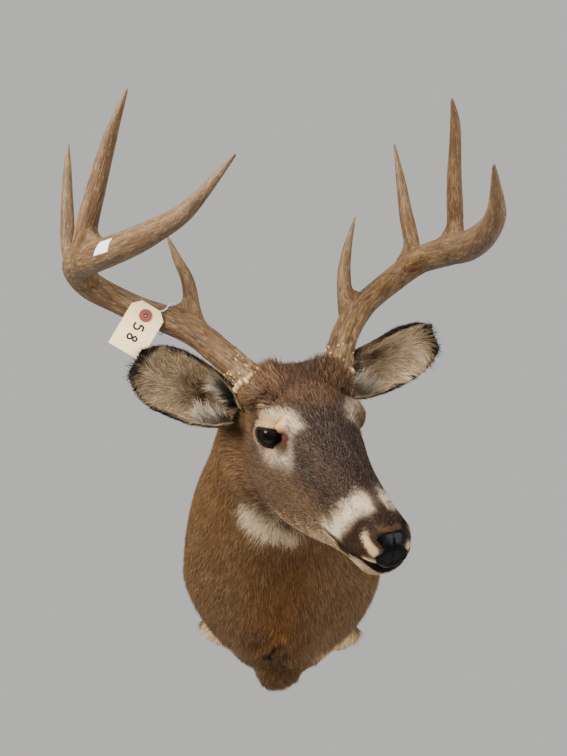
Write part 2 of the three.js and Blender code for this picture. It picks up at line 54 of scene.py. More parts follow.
# [x, top, bottom, half width, height of the widest line, squareness above it, squareness below it]
HEAD_SECTIONS = [
    [-112, 24, -122, 50, -30, 2.0, 2.0], [-92, 44, -130, 58, -16, 2.1, 2.1],
    [-66, 55, -133, 61, -8, 2.4, 2.2],
    [-30, 54, -130, 60, -8, 2.5, 2.3], [0, 46, -123, 58, -12, 2.6, 2.4], [30, 38, -113, 52, -18, 2.5, 2.5],
    [60, 33, -100, 44, -20, 2.3, 2.5], [90, 31, -84, 37, -20, 2.2, 2.5], [120, 29, -67, 32, -17, 2.2, 2.5],
    [150, 26, -54, 29, -13, 2.3, 2.5], [174, 21, -46, 28, -12, 2.5, 2.5], [188, 14, -41, 25, -12, 2.6, 2.5],
    [197, 3, -30, 17, -12, 2.4, 2.3]]
# [x, y, z, reach x, reach y, reach z, height] of the raises and hollows, in mirrored head places
HEAD_FORMS = [
    [-4, 60, 23, 24, 15, 12, 12], [9, 49, 7, 15, 13, 12, -9], [24, 56, -32, 34, 18, 13, 4],
    [-28, 58, -74, 34, 24, 34, 6], [176, 27, 0, 13, 12, 12, 4], [-66, 55, 46, 18, 20, 16, 6],
    [-62, 32, 54, 20, 15, 14, 10]]
# [centre x, nape y, nape z, throat y, throat z, half width, widest share, squareness above, below]
BODY_SECTIONS = [
    [0, 0, 160, 0, -226, 149, 0.40, 2.2, 1.45], [0, -28, 166, -44, -236, 149, 0.40, 2.2, 1.5],
    [0, -62, 174, -92, -206, 143, 0.41, 2.2, 1.65], [-1, -100, 184, -136, -150, 129, 0.43, 2.15, 1.85],
    [-2, -140, 196, -172, -80, 113, 0.46, 2.1, 2.0], [-3, -180, 210, -206, -16, 99, 0.50, 2.1, 2.1],
    [-2, -218, 224, -236, 34, 90, 0.52, 2.1, 2.1], [0, -256, 234, -262, 68, 82, 0.54, 2.1, 2.1]]
BRISKET = {"at": [-3, -64, -206], "radii": [40, 34, 36], "lean": 0}
LEG_STUBS = {
    "R": {"at": [-92, -26, -166], "radii": [34, 24, 21], "lean": 30},
    "L": {"at": [88, -26, -172], "radii": [34, 24, 22], "lean": -16}}
EYE = {"at": np.array([-14, 46.5, -0.5]), "radius": 17.2, "azimuth": 34, "elevation": 18, "tilt": 5}
# head places of root and tip, the way the open side faces, how far painted shade dims the inner hair, the
# dark hollow's place and reach [share from root to tip, share across, reach], and how dark the root is
# the right ear's inner hair is dimmed as painted shade; in both ears the hollow and root are partly dark
# skin, partly painted shade
EARS = {
    "R": {"root": [-64.5, -68, -7.5], "tip": [-121, -178, 45], "faces": [0.89, -0.22, 0.39],
          "shade": 0.66, "hollow": [0.33, 0.0, 0.27], "root_shade": 0.75},
    "L": {"root": [-72, 67, 5], "tip": [-80, 194, 66], "faces": [0.97, -0.15, 0.1],
          "shade": 1.0, "hollow": [0.44, -0.1, 0.20], "root_shade": 1.0}}
EAR_HALF_WIDTH = 40
# [share from root to tip, share of the half width]
EAR_WIDTH = [[0, 0.42], [0.2, 0.70], [0.45, 0.90], [0.68, 0.93], [0.86, 0.76], [1, 0.36]]
# [share from root to tip, half of the angle that the wall bends round, in degrees]
EAR_WRAP = [[0, 150], [0.2, 112], [0.45, 78], [0.75, 56], [1, 40]]
# head places and radii along each centre line: [x, y, z, radius]
ANTLERS = {
    "R": {
        "beam": [
            [-62, -52, 32, 18], [-74, -59, 41, 17.5], [-105, -82, 57, 16.5], [-132, -104, 70, 16.8],
            [-158, -133, 78, 16.3], [-180, -162, 82, 16], [-199, -189, 91, 16.2], [-206, -214, 106, 17],
            [-192, -230, 134, 17.6], [-142, -226, 167, 16.8], [-88, -206, 202, 15], [-38, -186, 238, 12.2],
            [2, -166, 274, 8.6], [32, -133, 336, 1.6]],
        "brow_tine": [[-138, -104, 66, 15.5], [-158, -102, 86, 11], [-178, -104, 117, 8.2],
                      [-192, -113, 138, 5.8], [-204, -125, 166, 1.4]],
        "second_tine": [[-206, -221, 112, 13], [-231, -232, 132, 10.2], [-258, -230, 175, 7.8],
                        [-284, -225, 216, 5.2], [-305, -220, 244, 1.4]],
        "third_tine": [[-146, -230, 164, 16], [-143, -231, 190, 12.8], [-146, -219, 240, 10.4],
                       [-147, -204, 296, 7.4], [-142, -188, 348, 1.5]]},
    "L": {
        "beam": [
            [-62, 50, 32, 18], [-77, 59, 46, 17.5], [-108, 80, 62, 16.8], [-134, 104, 74, 16.8],
            [-159, 132, 79, 16.2], [-180, 158, 82, 16], [-196, 184, 87, 16.4], [-200, 208, 102, 17],
            [-180, 217, 126, 17.8], [-134, 218, 157, 19], [-78, 208, 189, 18.8], [-28, 189, 224, 15.4],
            [10, 168, 264, 11], [38, 129, 327, 1.6]],
        "brow_tine": [[-140, 104, 66, 15.5], [-158, 101, 86, 11.4], [-176, 103, 113, 9],
                      [-192, 110, 138, 6.6], [-211, 125, 178, 1.4]],
        "second_tine": [[-204, 220, 100, 13], [-228, 229, 126, 11.8], [-252, 225, 163, 9.4],
                        [-276, 222, 201, 6.6], [-306, 219, 244, 1.6]],
        "third_tine": [[-132, 230, 156, 17], [-136, 228, 184, 11.4], [-140, 213, 248, 9.2],
                       [-143, 199, 316, 6.2], [-142, 186, 346, 1.8]]}}
# the swelling under each burr: added radius, its reach and its place along the beam
BURR = {"flare": 2.2, "reach": 7, "at": 11}

# the camera, in millimetres, at the viewing angle that the model was made from
CAMERA_AT = np.array([-17.1, -1296.4, 274.4])
CAMERA_LOOK = np.array([0.0125, 0.9989, -0.0451])
CAMERA_UP = np.array([-0.0135, 0.0453, 0.9989])
LENS, SENSOR = 40.476, 36  # the sensor's long side

# ---------------------------------------------------------------- sizes of the coat and the fine forms
SKIN_VOXEL = 3.5
ANTLER_VOXEL = 1.55
# how far the skin lies under the outer outline: [head x, depth]
FACE_COAT_DEPTH = [[-112, 6.0], [-70, 5.0], [-20, 3.4], [30, 2.4], [80, 1.7], [130, 1.2], [165, 0.9],
                   [185, 0.5], [197, 0.4]]
BODY_COAT_DEPTH = 6.5
# the mouth line on the side of the face: [head x, z]
MOUTH_LINE = [[105, -43], [116, -40], [132, -37], [146, -34], [158, -30.5], [166, -27], [175, -21.5],
              [184, -17.5], [190, -16.3], [198, -16.3]]
MOUTH_DIP = 8.0  # how far the line drops from the lip's corner to the middle of its front
MOUTH_CORNER_X = 112
# mirrored head places along the nostril's slit, from its top to its lower end
NOSTRIL_SLIT = [[181, 22, 10.5], [186, 19.5, 7.5], [191, 16, 4.5], [195.5, 11.5, 2.2]]
# mirrored head places along the tear duct, from the eye's front corner forwards
TEAR_DUCT = [[5, 43.5, 9], [14, 43, 12.5], [26, 41.5, 17]]
# small forms under the coat, as HEAD_FORMS: the hollow before the eye, the roll of the brow, the dip behind
# it, the nostril's wing and the chin
FINE_FORMS = [[10, 44, 6, 13, 14, 11, -10.5], [-6, 58, 24, 18, 12, 9, 3.5], [-56, 66, 40, 15, 11, 15, -5],
              [187, 22, 3, 9, 9, 11, -2.6], [194, 8, -29, 9, 15, 9, -3.5]]
# how far the skin is drawn in round the eye's front corner before the lids are shaped
DUCT_HOLLOW = [12, 44, 7, 11, 14, 11, 8.5]
LEFT_BROW = [8, 51, 9, 13, 14, 18, 12.5]  # the left brow stands out further than the right
# the moist pad seen from in front, on the buck's left: [y, z]
NOSE_PAD = [[0, 14.8], [6, 15], [12, 14], [18, 11], [16, 8], [13, 5], [10.5, 2.3], [12.5, -0.5], [15.5, -3.5],
            [18.5, -6.5], [17.8, -11], [16.6, -14.5], [13, -18.5], [7, -22], [0, -23.2]]
# the skin collar under each antler: [distance along it, radius]
PEDICLE = [[-16, 22.5], [-6, 21.5], [0, 20.4], [5, 19.4], [8, 16.5]]
# places along the creases of the knot under the chest
BRISKET_CREASES = [[[-27, -118, -171], [-12, -134, -156], [3, -141, -141]],
                   [[-19, -122, -166], [-6, -122, -176], [6, -110, -190]]]


# ---------------------------------------------------------------- small tools
def unit(v):
    v = np.asarray(v, float)
    return v / np.maximum(np.linalg.norm(v, axis=-1, keepdims=True), 1e-12)


def circle(count):
    """Angles evenly round a full turn."""
    return np.arange(count) / count * 2 * np.pi


def ring_round(side, other, count):
    """Unit directions round the line that side and other are square to."""
    turns = circle(count)
    return side * np.cos(turns)[:, None] + other * np.sin(turns)[:, None]


def turned(v, axis, angle):
    """Vector v turned about a unit axis."""
    return (v * math.cos(angle) + np.cross(axis, v) * math.sin(angle)
            + axis * np.dot(axis, v) * (1 - math.cos(angle)))


def head_axes():
    """The head's forward, left and up directions, as rows."""
    forward = np.array([math.sin(YAW) * math.cos(PITCH), -math.cos(YAW) * math.cos(PITCH), -math.sin(PITCH)])
    left = turned(np.array([math.cos(YAW), math.sin(YAW), 0]), forward, ROLL)
    return np.stack([forward, left, np.cross(forward, left)])


HEAD_AXES = head_axes()


def from_head(points):
    return np.asarray(points, float) @ HEAD_AXES + EYES_AT


def to_head(points):
    return (np.asarray(points, float) - EYES_AT) @ HEAD_AXES.T


def mirrored(head_points):
    out = np.array(head_points, float)
    out[:, 1] = np.abs(out[:, 1])
    return out


def ramp(x, low, high):
    """0 below low, 1 above high, smooth between."""
    t = np.clip((np.asarray(x, float) - low) / (high - low), 0, 1)
    return t * t * (3 - 2 * t)


def bump(x, at, reach):
    return np.exp(-(((x - at) / reach) ** 2))


def mixed(colour, target, weight):
    """Colours drawn towards the target by a weight for each."""
    return colour * (1 - weight[:, None]) + np.asarray(target) * weight[:, None]


def smooth_table(rows):
    """A reader of the table's columns, smooth between its rows over the first column."""
    rows = np.asarray(rows, float)
    knots = rows[:, 0]
    low = np.maximum(np.arange(len(rows)) - 1, 0)
    high = np.minimum(np.arange(len(rows)) + 1, len(rows) - 1)
    slopes = (rows[high] - rows[low]) / (knots[high] - knots[low])[:, None]

    def read(x):
        x = np.clip(np.atleast_1d(np.asarray(x, float)), knots[0], knots[-1])
        k = np.clip(np.searchsorted(knots, x) - 1, 0, len(rows) - 2)
        span = (knots[k + 1] - knots[k])[:, None]
        t = (x - knots[k])[:, None] / span
        return ((2 * t**3 - 3 * t**2 + 1) * rows[k] + (t**3 - 2 * t**2 + t) * span * slopes[k]
                + (3 * t**2 - 2 * t**3) * rows[k + 1] + (t**3 - t**2) * span * slopes[k + 1])

    return read


def wobble(points, size, seed=0):
    """Smooth noise from -1 to 1 whose bumps are about as wide as size, the same on every run."""
    p = np.asarray(points, float) / size + seed * 17.31
    cell = np.floor(p).astype(np.int64)
    f = p - cell
    f = f * f * (3 - 2 * f)
    total = np.zeros(len(p))
    for corner in range(8):
        step = np.array([corner & 1, (corner >> 1) & 1, corner >> 2])
        key = (cell + step) * np.array([73856093, 19349663, 83492791])
        mixed = (key[:, 0] ^ key[:, 1] ^ key[:, 2]) & 0xFFFFFFFF
        mixed = ((mixed ^ (mixed >> 15)) * 2246822519) & 0xFFFFFFFF
        value = ((mixed ^ (mixed >> 13)) & 0xFFFF) / 32767.5 - 1
        total += value * np.prod(np.where(step == 1, f, 1 - f), axis=1)
    return total


def line_distance(points, line):
    """Distance from each point to a line of points, and the share along it of the nearest place."""
    line = np.asarray(line, float)
    best = np.full(len(points), 1e9)
    share = np.zeros(len(points))
    for k in range(len(line) - 1):
        along = line[k + 1] - line[k]
        t = np.clip((points - line[k]) @ along / (along @ along), 0, 1)
        gap = np.linalg.norm(points - line[k] - t[:, None] * along, axis=1)
        nearer = gap < best
        best = np.where(nearer, gap, best)
        share = np.where(nearer, (k + t) / (len(line) - 1), share)
    return best, share


# ---------------------------------------------------------------- meshes
def closed_tube(rings):
    """Vertices and triangles of a loft through the rings, closed at both ends."""
    rings = np.asarray(rings, float)
    count, around = rings.shape[:2]
    points = np.concatenate([rings.reshape(-1, 3), rings[0].mean(0)[None], rings[-1].mean(0)[None]])
    i = np.arange(around)
    j = (i + 1) % around
    faces = []
    for k in range(count - 1):
        a, b = k * around + i, k * around + j
        faces += [np.stack([a, b, b + around], 1), np.stack([a, b + around, a + around], 1)]
    end = (count - 1) * around
    faces.append(np.stack([j, i, np.full(around, len(points) - 2)], 1))
    faces.append(np.stack([end + i, end + j, np.full(around, len(points) - 1)], 1))
    return outward(points, np.concatenate(faces))


def outward(points, faces):
    """The same closed shape, with its triangles turned to face out."""
    a, b, c = (points[faces[:, k]] - points.mean(0) for k in range(3))
    return points, faces if np.einsum("nk,nk->", a, np.cross(b, c)) > 0 else faces[:, ::-1]


def sheet_faces(rows, columns):
    """Triangles of a sheet made of two grids of places, the second one behind the first."""
    under = rows * columns
    grid = np.arange(under).reshape(rows, columns)
    a, b, c, d = (grid[:-1, :-1].ravel(), grid[:-1, 1:].ravel(), grid[1:, 1:].ravel(), grid[1:, :-1].ravel())
    edge = np.concatenate([grid[0, :], grid[1:, -1], grid[-1, -2::-1], grid[-2:0:-1, 0]])
    following = np.roll(edge, -1)
    corners = [[a, b, c], [a, c, d], [a + under, c + under, b + under], [a + under, d + under, c + under],
               [edge, edge + under, following + under], [edge, following + under, following]]
    return np.concatenate([np.stack(triangle, 1) for triangle in corners])


def joined(shapes):
    points, faces, start = [], [], 0
    for shape_points, shape_faces in shapes:
        points.append(shape_points)
        faces.append(shape_faces + start)
        start += len(shape_points)
    return np.concatenate(points), np.concatenate(faces)


def make_mesh(name, points, faces):
    """A Blender mesh from millimetre points and faces that all have the same number of corners."""
    mesh = bpy.data.meshes.new(name)
    mesh.vertices.add(len(points))
    mesh.vertices.foreach_set("co", (np.asarray(points) * MM).astype(np.float32).ravel())
    mesh.loops.add(faces.size)
    mesh.loops.foreach_set("vertex_index", faces.astype(np.int32).ravel())
    mesh.polygons.add(len(faces))
    mesh.polygons.foreach_set("loop_start", np.arange(0, faces.size, faces.shape[1], dtype=np.int32))
    mesh.update(calc_edges=True)
    mesh.shade_smooth()
    return mesh


def add_object(name, mesh):
    obj = bpy.data.objects.new(name, mesh)
    bpy.context.scene.collection.objects.link(obj)
    return obj


def add_piece(name, points, faces, material, slot, nodes=(), colours=None, vectors=None):
    """A finished piece on the body, and the solids that it stands for; slot is not used."""
    mesh = make_mesh(name, points, faces)
    if colours is not None:
        paint(mesh, "hue", colours)
    if vectors is not None:
        store = mesh.attributes.new("grain", "FLOAT_VECTOR", "POINT")
        store.data.foreach_set("vector", (vectors * MM).astype(np.float32).ravel())
    mesh.materials.append(material)
    return dress(add_object(name, mesh), nodes)


def dress(obj, nodes=()):
    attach(obj, "root")
    if nodes:
        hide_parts(*nodes)
    return obj


def paint(mesh, name, colours):
    rgba = np.concatenate([np.clip(colours, 0, 1), np.ones((len(colours), 1))], 1)
    layer = mesh.color_attributes.new(name=name, type="FLOAT_COLOR", domain="POINT")
    layer.data.foreach_set("color", rgba.astype(np.float32).ravel())


def voxel_union(shapes, voxel):
    """One outer surface round all the closed shapes, as a Blender mesh of quads."""
    source = add_object("union_source", make_mesh("union_source", *joined(shapes)))
    remesh = source.modifiers.new("union", "REMESH")
    remesh.mode = "VOXEL"
    remesh.voxel_size = voxel * MM
    evaluated = source.evaluated_get(bpy.context.evaluated_depsgraph_get())
    mesh = bpy.data.meshes.new_from_object(evaluated)
    bpy.data.objects.remove(source)
    return mesh


def mesh_points(mesh):
    points = np.empty(len(mesh.vertices) * 3, np.float32)
    mesh.vertices.foreach_get("co", points)
    return points.reshape(-1, 3).astype(float) / MM


def mesh_edges(mesh):
    edges = np.empty(len(mesh.edges) * 2, np.int32)
    mesh.edges.foreach_get("vertices", edges)
    return edges.reshape(-1, 2)


def mesh_triangles(mesh):
    mesh.calc_loop_triangles()
    triangles = np.empty(len(mesh.loop_triangles) * 3, np.int32)
    mesh.loop_triangles.foreach_get("vertices", triangles)
    return triangles.reshape(-1, 3)


def set_points(mesh, points):
    mesh.vertices.foreach_set("co", (points * MM).astype(np.float32).ravel())
    mesh.update()


def relaxed(points, edges, rounds, weight=1.0):
    """Points drawn towards the middle of their neighbours, by up to half the way each round."""
    points = points.copy()
    weight = np.broadcast_to(weight, len(points))[:, None] * 0.5
    a, b = edges[:, 0], edges[:, 1]
    degree = np.bincount(edges.ravel(), minlength=len(points))[:, None]
    for _ in range(rounds):
        total = np.stack([np.bincount(a, points[b, k], len(points))
                          + np.bincount(b, points[a, k], len(points))
                          for k in range(3)], 1)
        points += weight * (total / np.maximum(degree, 1) - points)
    return points


def vertex_normals(points, faces):
    a, b, c = (points[faces[:, k]] for k in range(3))
    across = np.cross(b - a, c - a)
    flat = faces.ravel()
    return unit(np.stack([np.bincount(flat, np.repeat(across[:, k], 3), len(points)) for k in range(3)], 1))


def refined(mesh, keep):
    """Splits the edges whose two ends are both kept, and gives the smoothed points."""
    bm = bmesh.new()
    bm.from_mesh(mesh)
    bm.verts.ensure_lookup_table()
    edges = [e for e in bm.edges if keep[e.verts[0].index] and keep[e.verts[1].index]]
    bmesh.ops.subdivide_edges(bm, edges=edges, cuts=1, use_grid_fill=True)
    bm.to_mesh(mesh)
    bm.free()
    return relaxed(mesh_points(mesh), mesh_edges(mesh), 2)


# ---------------------------------------------------------------- the shape of the head and body
read_head = smooth_table(HEAD_SECTIONS)
last_share = len(BODY_SECTIONS) - 1
read_body = smooth_table([[k / last_share, *row] for k, row in enumerate(BODY_SECTIONS)])
read_face_depth = smooth_table(FACE_COAT_DEPTH)
read_mouth = smooth_table(MOUTH_LINE)


def section_point(turn, half_width, top, bottom, middle, square_above, square_below):
    """A place on a rounded-square section; turn counts 0 to 1 from the widest line, over the top."""
    c, s = np.cos(turn * 2 * np.pi), np.sin(turn * 2 * np.pi)
    power = 2 / np.where(s >= 0, square_above, square_below)
    reach = np.where(s >= 0, top - middle, middle - bottom)
    return half_width * np.sign(c) * np.abs(c) ** power, middle + reach * np.sign(s) * np.abs(s) ** power


def swelling(x, y, z, form):
    cx, cy, cz, rx, ry, rz, height = form
    return height * np.exp(-(((x - cx) / rx) ** 2) - (((y - cy) / ry) ** 2) - (((z - cz) / rz) ** 2))


def head_raise(x, y, z):
    return sum(swelling(x, np.abs(y), z, form) for form in HEAD_FORMS + FINE_FORMS)


def head_shape():
    turns = np.arange(96) / 96
    rings = []
    for x in np.concatenate([np.arange(-112, 190, 3.0), [190, 192, 194, 195.5, 196.5]]):
        _, top, bottom, half_width, middle, above, below = read_head(x)[0]
        y, z = section_point(turns, half_width, top, bottom, middle, above, below)
        reach = np.hypot(y, z - middle)
        scale = (reach + head_raise(x, y, z) - read_face_depth(x)[0, 1]) / np.maximum(reach, 1e-6)
        rings.append(from_head(np.stack([np.full(96, x), y * scale, middle + (z - middle) * scale], 1)))
    return closed_tube(rings)


def body_shape():
    turns = np.arange(120) / 120
    rings = []
    for share in np.linspace(0, 1, 70):
        _, cx, nape_y, nape_z, throat_y, throat_z, half_width, widest, above, below = read_body(share)[0]
        inset = BODY_COAT_DEPTH / math.hypot(nape_z - throat_z, nape_y - throat_y)
        x, height = section_point(turns, half_width - BODY_COAT_DEPTH, 1 - inset, inset, widest, above, below)
        rings.append(np.stack([cx + x, throat_y + (nape_y - throat_y) * height,
                               throat_z + (nape_z - throat_z) * height], 1))
    return closed_tube(rings)


def ellipsoid(at, radii, lean, inset):
    """A closed ellipsoid, leaning about the Y axis, its surface inset."""
    turns = circle(40)
    levels = np.radians(np.linspace(-88, 88, 22))
    radii = np.asarray(radii, float) - inset
    rings = [np.stack([np.cos(level) * np.cos(turns), np.cos(level) * np.sin(turns),
                       np.full(40, math.sin(level))], 1) * radii for level in levels]
    angle = math.radians(lean)
    cosine, sine = math.cos(angle), math.sin(angle)
    turn = np.array([[cosine, 0, sine], [0, 1, 0], [-sine, 0, cosine]])
    return closed_tube([ring @ turn.T + np.asarray(at, float) for ring in rings])


def pedicle(rows):
    """The collar of skin round an antler's foot, up to just below its burr."""
    foot, above = from_head(np.array(rows["beam"])[[0, 2], :3])
    axis = unit(above - foot)
    side = unit(np.cross(axis, [0.3, 1.0, 0.2]))
    ring = ring_round(side, np.cross(axis, side), 40)
    return closed_tube([foot + axis * along + ring * radius for along, radius in PEDICLE])


def body_place(points):
    """Share along the body from the wall to the head, height from throat to nape, and sideways reach."""
    shares = np.linspace(0, 1, 80)
    _, _, nape_y, nape_z, throat_y, throat_z, *_ = read_body(shares).T
    y, z = points[:, 1:2], points[:, 2:3]
    side = (nape_y - throat_y) * (z - throat_z) - (nape_z - throat_z) * (y - throat_y)
    before = np.argmax(side * side[:, :1] <= 0, axis=1)
    nearer_end = np.where(np.abs(side[:, 0]) < np.abs(side[:, -1]), 1, 79)
    before = np.where(before == 0, nearer_end, before)
    rows = np.arange(len(points))
    first, second = side[rows, before - 1], side[rows, before]
    t = np.clip(first / np.where(np.abs(first - second) < 1e-9, 1, first - second), 0, 1)
    share = shares[before - 1] + t * (shares[1] - shares[0])
    _, cx, nape_y, nape_z, throat_y, throat_z, half_width, widest, *_ = read_body(share).T
    reach = (nape_z - throat_z) ** 2 + (nape_y - throat_y) ** 2
    height = ((points[:, 2] - throat_z) * (nape_z - throat_z)
              + (points[:, 1] - throat_y) * (nape_y - throat_y)) / reach
    across = (points[:, 0] - cx) / half_width
    turn = np.arctan2((height - widest) * 2, across) / (2 * np.pi) + 0.5
    return share, height, across, turn


def head_share(head_points):
    """1 on the head's own surface, falling to 0 away from it on the neck."""
    x, y, z = head_points.T
    _, top, bottom, half_width, middle, *_ = read_head(x).T
    reach = np.where(z > middle, top - middle, middle - bottom)
    round_share = np.sqrt((y / half_width) ** 2 + ((z - middle) / reach) ** 2)
    past_ends = np.maximum(-105 - x, 0) / 18
    return 1 - ramp(round_share + past_ends, 1.06, 1.4)


def eye_frame():
    """The eye's own directions in mirrored head places: out of the opening, to its front corner, and up."""
    azimuth, elevation = math.radians(EYE["azimuth"]), math.radians(EYE["elevation"])
    out = np.array([math.cos(elevation) * math.cos(azimuth), math.cos(elevation) * math.sin(azimuth),
                    math.sin(elevation)])
    front = np.array([math.sin(azimuth), -math.cos(azimuth), 0])
    up = np.cross(front, out)
    tilt = math.radians(EYE["tilt"])
    return (out, front * math.cos(tilt) - up * math.sin(tilt), up * math.cos(tilt) + front * math.sin(tilt))


EYE_OUT, EYE_FRONT, EYE_UP = eye_frame()
# the opening of the lids, in degrees seen from the eyeball's middle: its reach to the back and to the front,
# the height of its corners, and how far the lids stand above and below them
LID_BACK, LID_FRONT, LID_CORNER, LID_UPPER, LID_LOWER = 59.0, 74.0, 9.0, 16.0, 46.0


def lid_half(along):
    """How far the opening reaches, in degrees, on the side where along lies."""
    return np.where(along > 0, LID_FRONT, LID_BACK)


def lid_angles(q):
    """Height of the upper and lower lid edges, in degrees, at a share from the back to the front corner."""
    inside = np.clip(1 - np.abs(q) ** np.where(q > 0, 2.8, 2.2), 0, 1)
    return LID_CORNER + LID_UPPER * (1 + 0.35 * q) * inside ** 0.7, LID_CORNER - LID_LOWER * inside ** 0.6


def lid_outline(count):
    """Angles round the eye's opening: along the upper lid forwards, then back along the lower lid."""
    q = np.sin(np.linspace(-np.pi / 2, np.pi / 2, count))
    upper, lower = lid_angles(q)
    along = np.concatenate([q, q[-2:0:-1]])
    along = along * lid_half(along)
    above = np.concatenate([upper, lower[-2:0:-1]])
    return np.stack([along, above], 1)


def eye_place(m):
    """Distance outside the eye's opening, height over its long line, and reach from the eyeball's middle."""
    d = m - EYE["at"]
    r = np.linalg.norm(d, axis=1)
    u = d / r[:, None]
    along = np.degrees(np.arctan2(u @ EYE_FRONT, u @ EYE_OUT))
    above = np.degrees(np.arcsin(np.clip(u @ EYE_UP, -1, 1)))
    near = r < 60
    outline = lid_outline(24)
    gap, _ = line_distance(np.stack([along, above], 1)[near], np.concatenate([outline, outline[:1]]))
    q = along[near] / lid_half(along[near])
    upper, lower = lid_angles(q)
    inside = (np.abs(q) < 1) & (above[near] < upper) & (above[near] > lower)
    out = np.full(len(m), 99.0)
    out[near] = np.where(inside, -gap, gap) * math.radians(EYE["radius"])
    return out, above, r, u


def shape_eyes(head_points):
    """Wraps the skin over the eyeballs, opens the lids and folds the skin round them."""
    m = mirrored(head_points)
    m[:, 1] -= swelling(*m.T, DUCT_HOLLOW)
    rim, above, r, u = eye_place(m)
    near = (u @ EYE_OUT > -0.25) & (r < 48)
    radius = EYE["radius"]
    lid = radius + 0.5 + 1.3 * ramp(rim, -0.5, 1.4)
    start = np.where(head_points[:, 1] > 0, 20, 30)
    beyond = ramp(r, start, start + 10)
    natural = np.maximum(ramp(rim, 1.3, 10), beyond)
    target = lid * (1 - natural) + np.maximum(r, lid * 0.98) * natural
    upper = above > LID_CORNER
    folds = np.where(upper, -1.3 * bump(rim, 5.2, 1.4) + 1.0 * bump(rim, 8.8, 2.6),
                     -0.9 * bump(rim, 4.6, 1.4) + 0.8 * bump(rim, 8.0, 2.4))
    target = target + folds * (1 - beyond)
    tucked = (radius - 4 + 4.5 * ramp(rim, -1.6, -0.2)) * (1 - beyond) + r * beyond
    target = np.where(rim < -0.2, tucked, target)
    m = np.where(near[:, None], EYE["at"] + u * target[:, None], m)
    m[:, 1] = m[:, 1] * np.where(head_points[:, 1] < 0, -1, 1)
    return m


def shape_muzzle(head_points, normals):
    """Cuts the tear ducts, nostrils and mouth, and swells the lips and nostril rims."""
    m = mirrored(head_points)
    x, y, _ = m.T
    shift = np.zeros(len(m))
    duct, share = line_distance(m, TEAR_DUCT)
    shift -= 2.4 * bump(duct, 0, 2.3) * (1 - 0.6 * share)
    shift += 0.8 * bump(duct, 5, 2.2)
    slit, share = line_distance(m, NOSTRIL_SLIT)
    shift -= 6.5 * bump(slit, 0, 1.5) * ramp(share, -0.3, 0.35) * (1.1 - 0.5 * share)
    fold = np.linalg.norm(m - np.array([187, 23.5, 2.5]), axis=1)
    shift += 0.8 * bump(fold, 0, 6.0)
    over = over_mouth(m)
    mouth = ramp(x, MOUTH_CORNER_X - 4, MOUTH_CORNER_X + 8) * (np.abs(over) < 20)
    shift -= 3.6 * bump(over, 0, 1.6) * mouth
    shift += mouth * (0.7 * bump(over, 4, 3) - 1.0 * ramp(-over, 0, 2) * (1 - ramp(-over, 6, 12)))
    shift -= 1.2 * bump(over, -2, 4) * bump(x, MOUTH_CORNER_X, 7) * (np.abs(over) < 20)
    shift -= 0.6 * bump(y, 0, 1.0) * ramp(x, 184, 192)
    return head_points + normals * shift[:, None]


def over_mouth(m):
    """Height over the line of the mouth, which dips towards the middle of the lips."""
    dip = MOUTH_DIP * ramp(m[:, 0], 184, 192) * (1 - ramp(m[:, 1], 2, 18))
    return m[:, 2] - read_mouth(m[:, 0])[:, 1] + dip


def shape_brisket(points, normals):
    """Presses in the creases of the knot under the chest and ruffles the skin there."""
    shift = np.zeros(len(points))
    for crease in BRISKET_CREASES:
        gap, share = line_distance(points, crease)
        shift -= 9.0 * bump(gap, 0, 4.2) * np.sin(np.pi * np.clip(share, 0.08, 0.92))
        shift += 4.5 * bump(gap, 10, 4.5)
    low = ramp(-points[:, 2], 150, 210) * ramp(-points[:, 1], 30, 60)
    shift += low * 2.6 * wobble(points * [1, 1, 0.5], 17, 3)
    return points + normals * shift[:, None]


def skin_form():
    """The head, neck, trunk and leg stubs as one mesh with its points, smoothed where they meet."""
    stubs = [ellipsoid(s["at"], s["radii"], s["lean"], 3.5) for s in LEG_STUBS.values()]
    pedicles = [pedicle(rows) for rows in ANTLERS.values()]
    shapes = [head_shape(), body_shape(), ellipsoid(**BRISKET, inset=5.5), *stubs, *pedicles]
    mesh = voxel_union(shapes, SKIN_VOXEL)
    points = mesh_points(mesh)
    points = relaxed(points, mesh_edges(mesh), 3)
    head = to_head(points)
    jaw_root = np.exp(-((head[:, 0] + 25) / 34) ** 2 - ((head[:, 2] + 128) / 34) ** 2)
    behind = np.exp(-((head[:, 0] + 98) / 26) ** 2)
    low = np.exp(-(((points[:, 2] + 178) / 22) ** 2)) * (np.abs(points[:, 0]) < 60)
    points = relaxed(points, mesh_edges(mesh), 30, np.clip(jaw_root + behind + low, 0, 1))
    set_points(mesh, points)
    return mesh, points


def skin_details(points, faces):
    """The eyes, the left brow, the muzzle and the brisket, shaped on the finished mesh's points."""
    head = shape_eyes(to_head(points))
    normals = vertex_normals(head, faces)
    reach = eye_place(mirrored(head))[2]
    head = head + normals * (swelling(*head.T, LEFT_BROW) * ramp(reach, 20, 26))[:, None]
    normals = vertex_normals(head, faces)
    head = shape_muzzle(head, normals)
    points = from_head(head)
    points = shape_brisket(points, vertex_normals(points, faces))
    points[:, 1] = np.minimum(points[:, 1], -0.5)
    return points


def make_skin():
    """One skin over the head, neck, trunk and leg stubs: points, triangles and normals."""
    mesh, points = skin_form()
    head = to_head(points)
    on_face = (head[:, 0] > -42) & (head_share(head) > 0.5) & (head[:, 2] > -125)
    points = refined(mesh, on_face)
    set_points(mesh, points)
    m = mirrored(to_head(points))
    by_eye = np.linalg.norm(m - EYE["at"], axis=1) < 34
    points = refined(mesh, by_eye | ((m[:, 0] > 108) & (m[:, 2] > -56)))
    faces = mesh_triangles(mesh)
    bpy.data.meshes.remove(mesh)
    points = skin_details(points, faces)
    return points, faces, vertex_normals(points, faces)


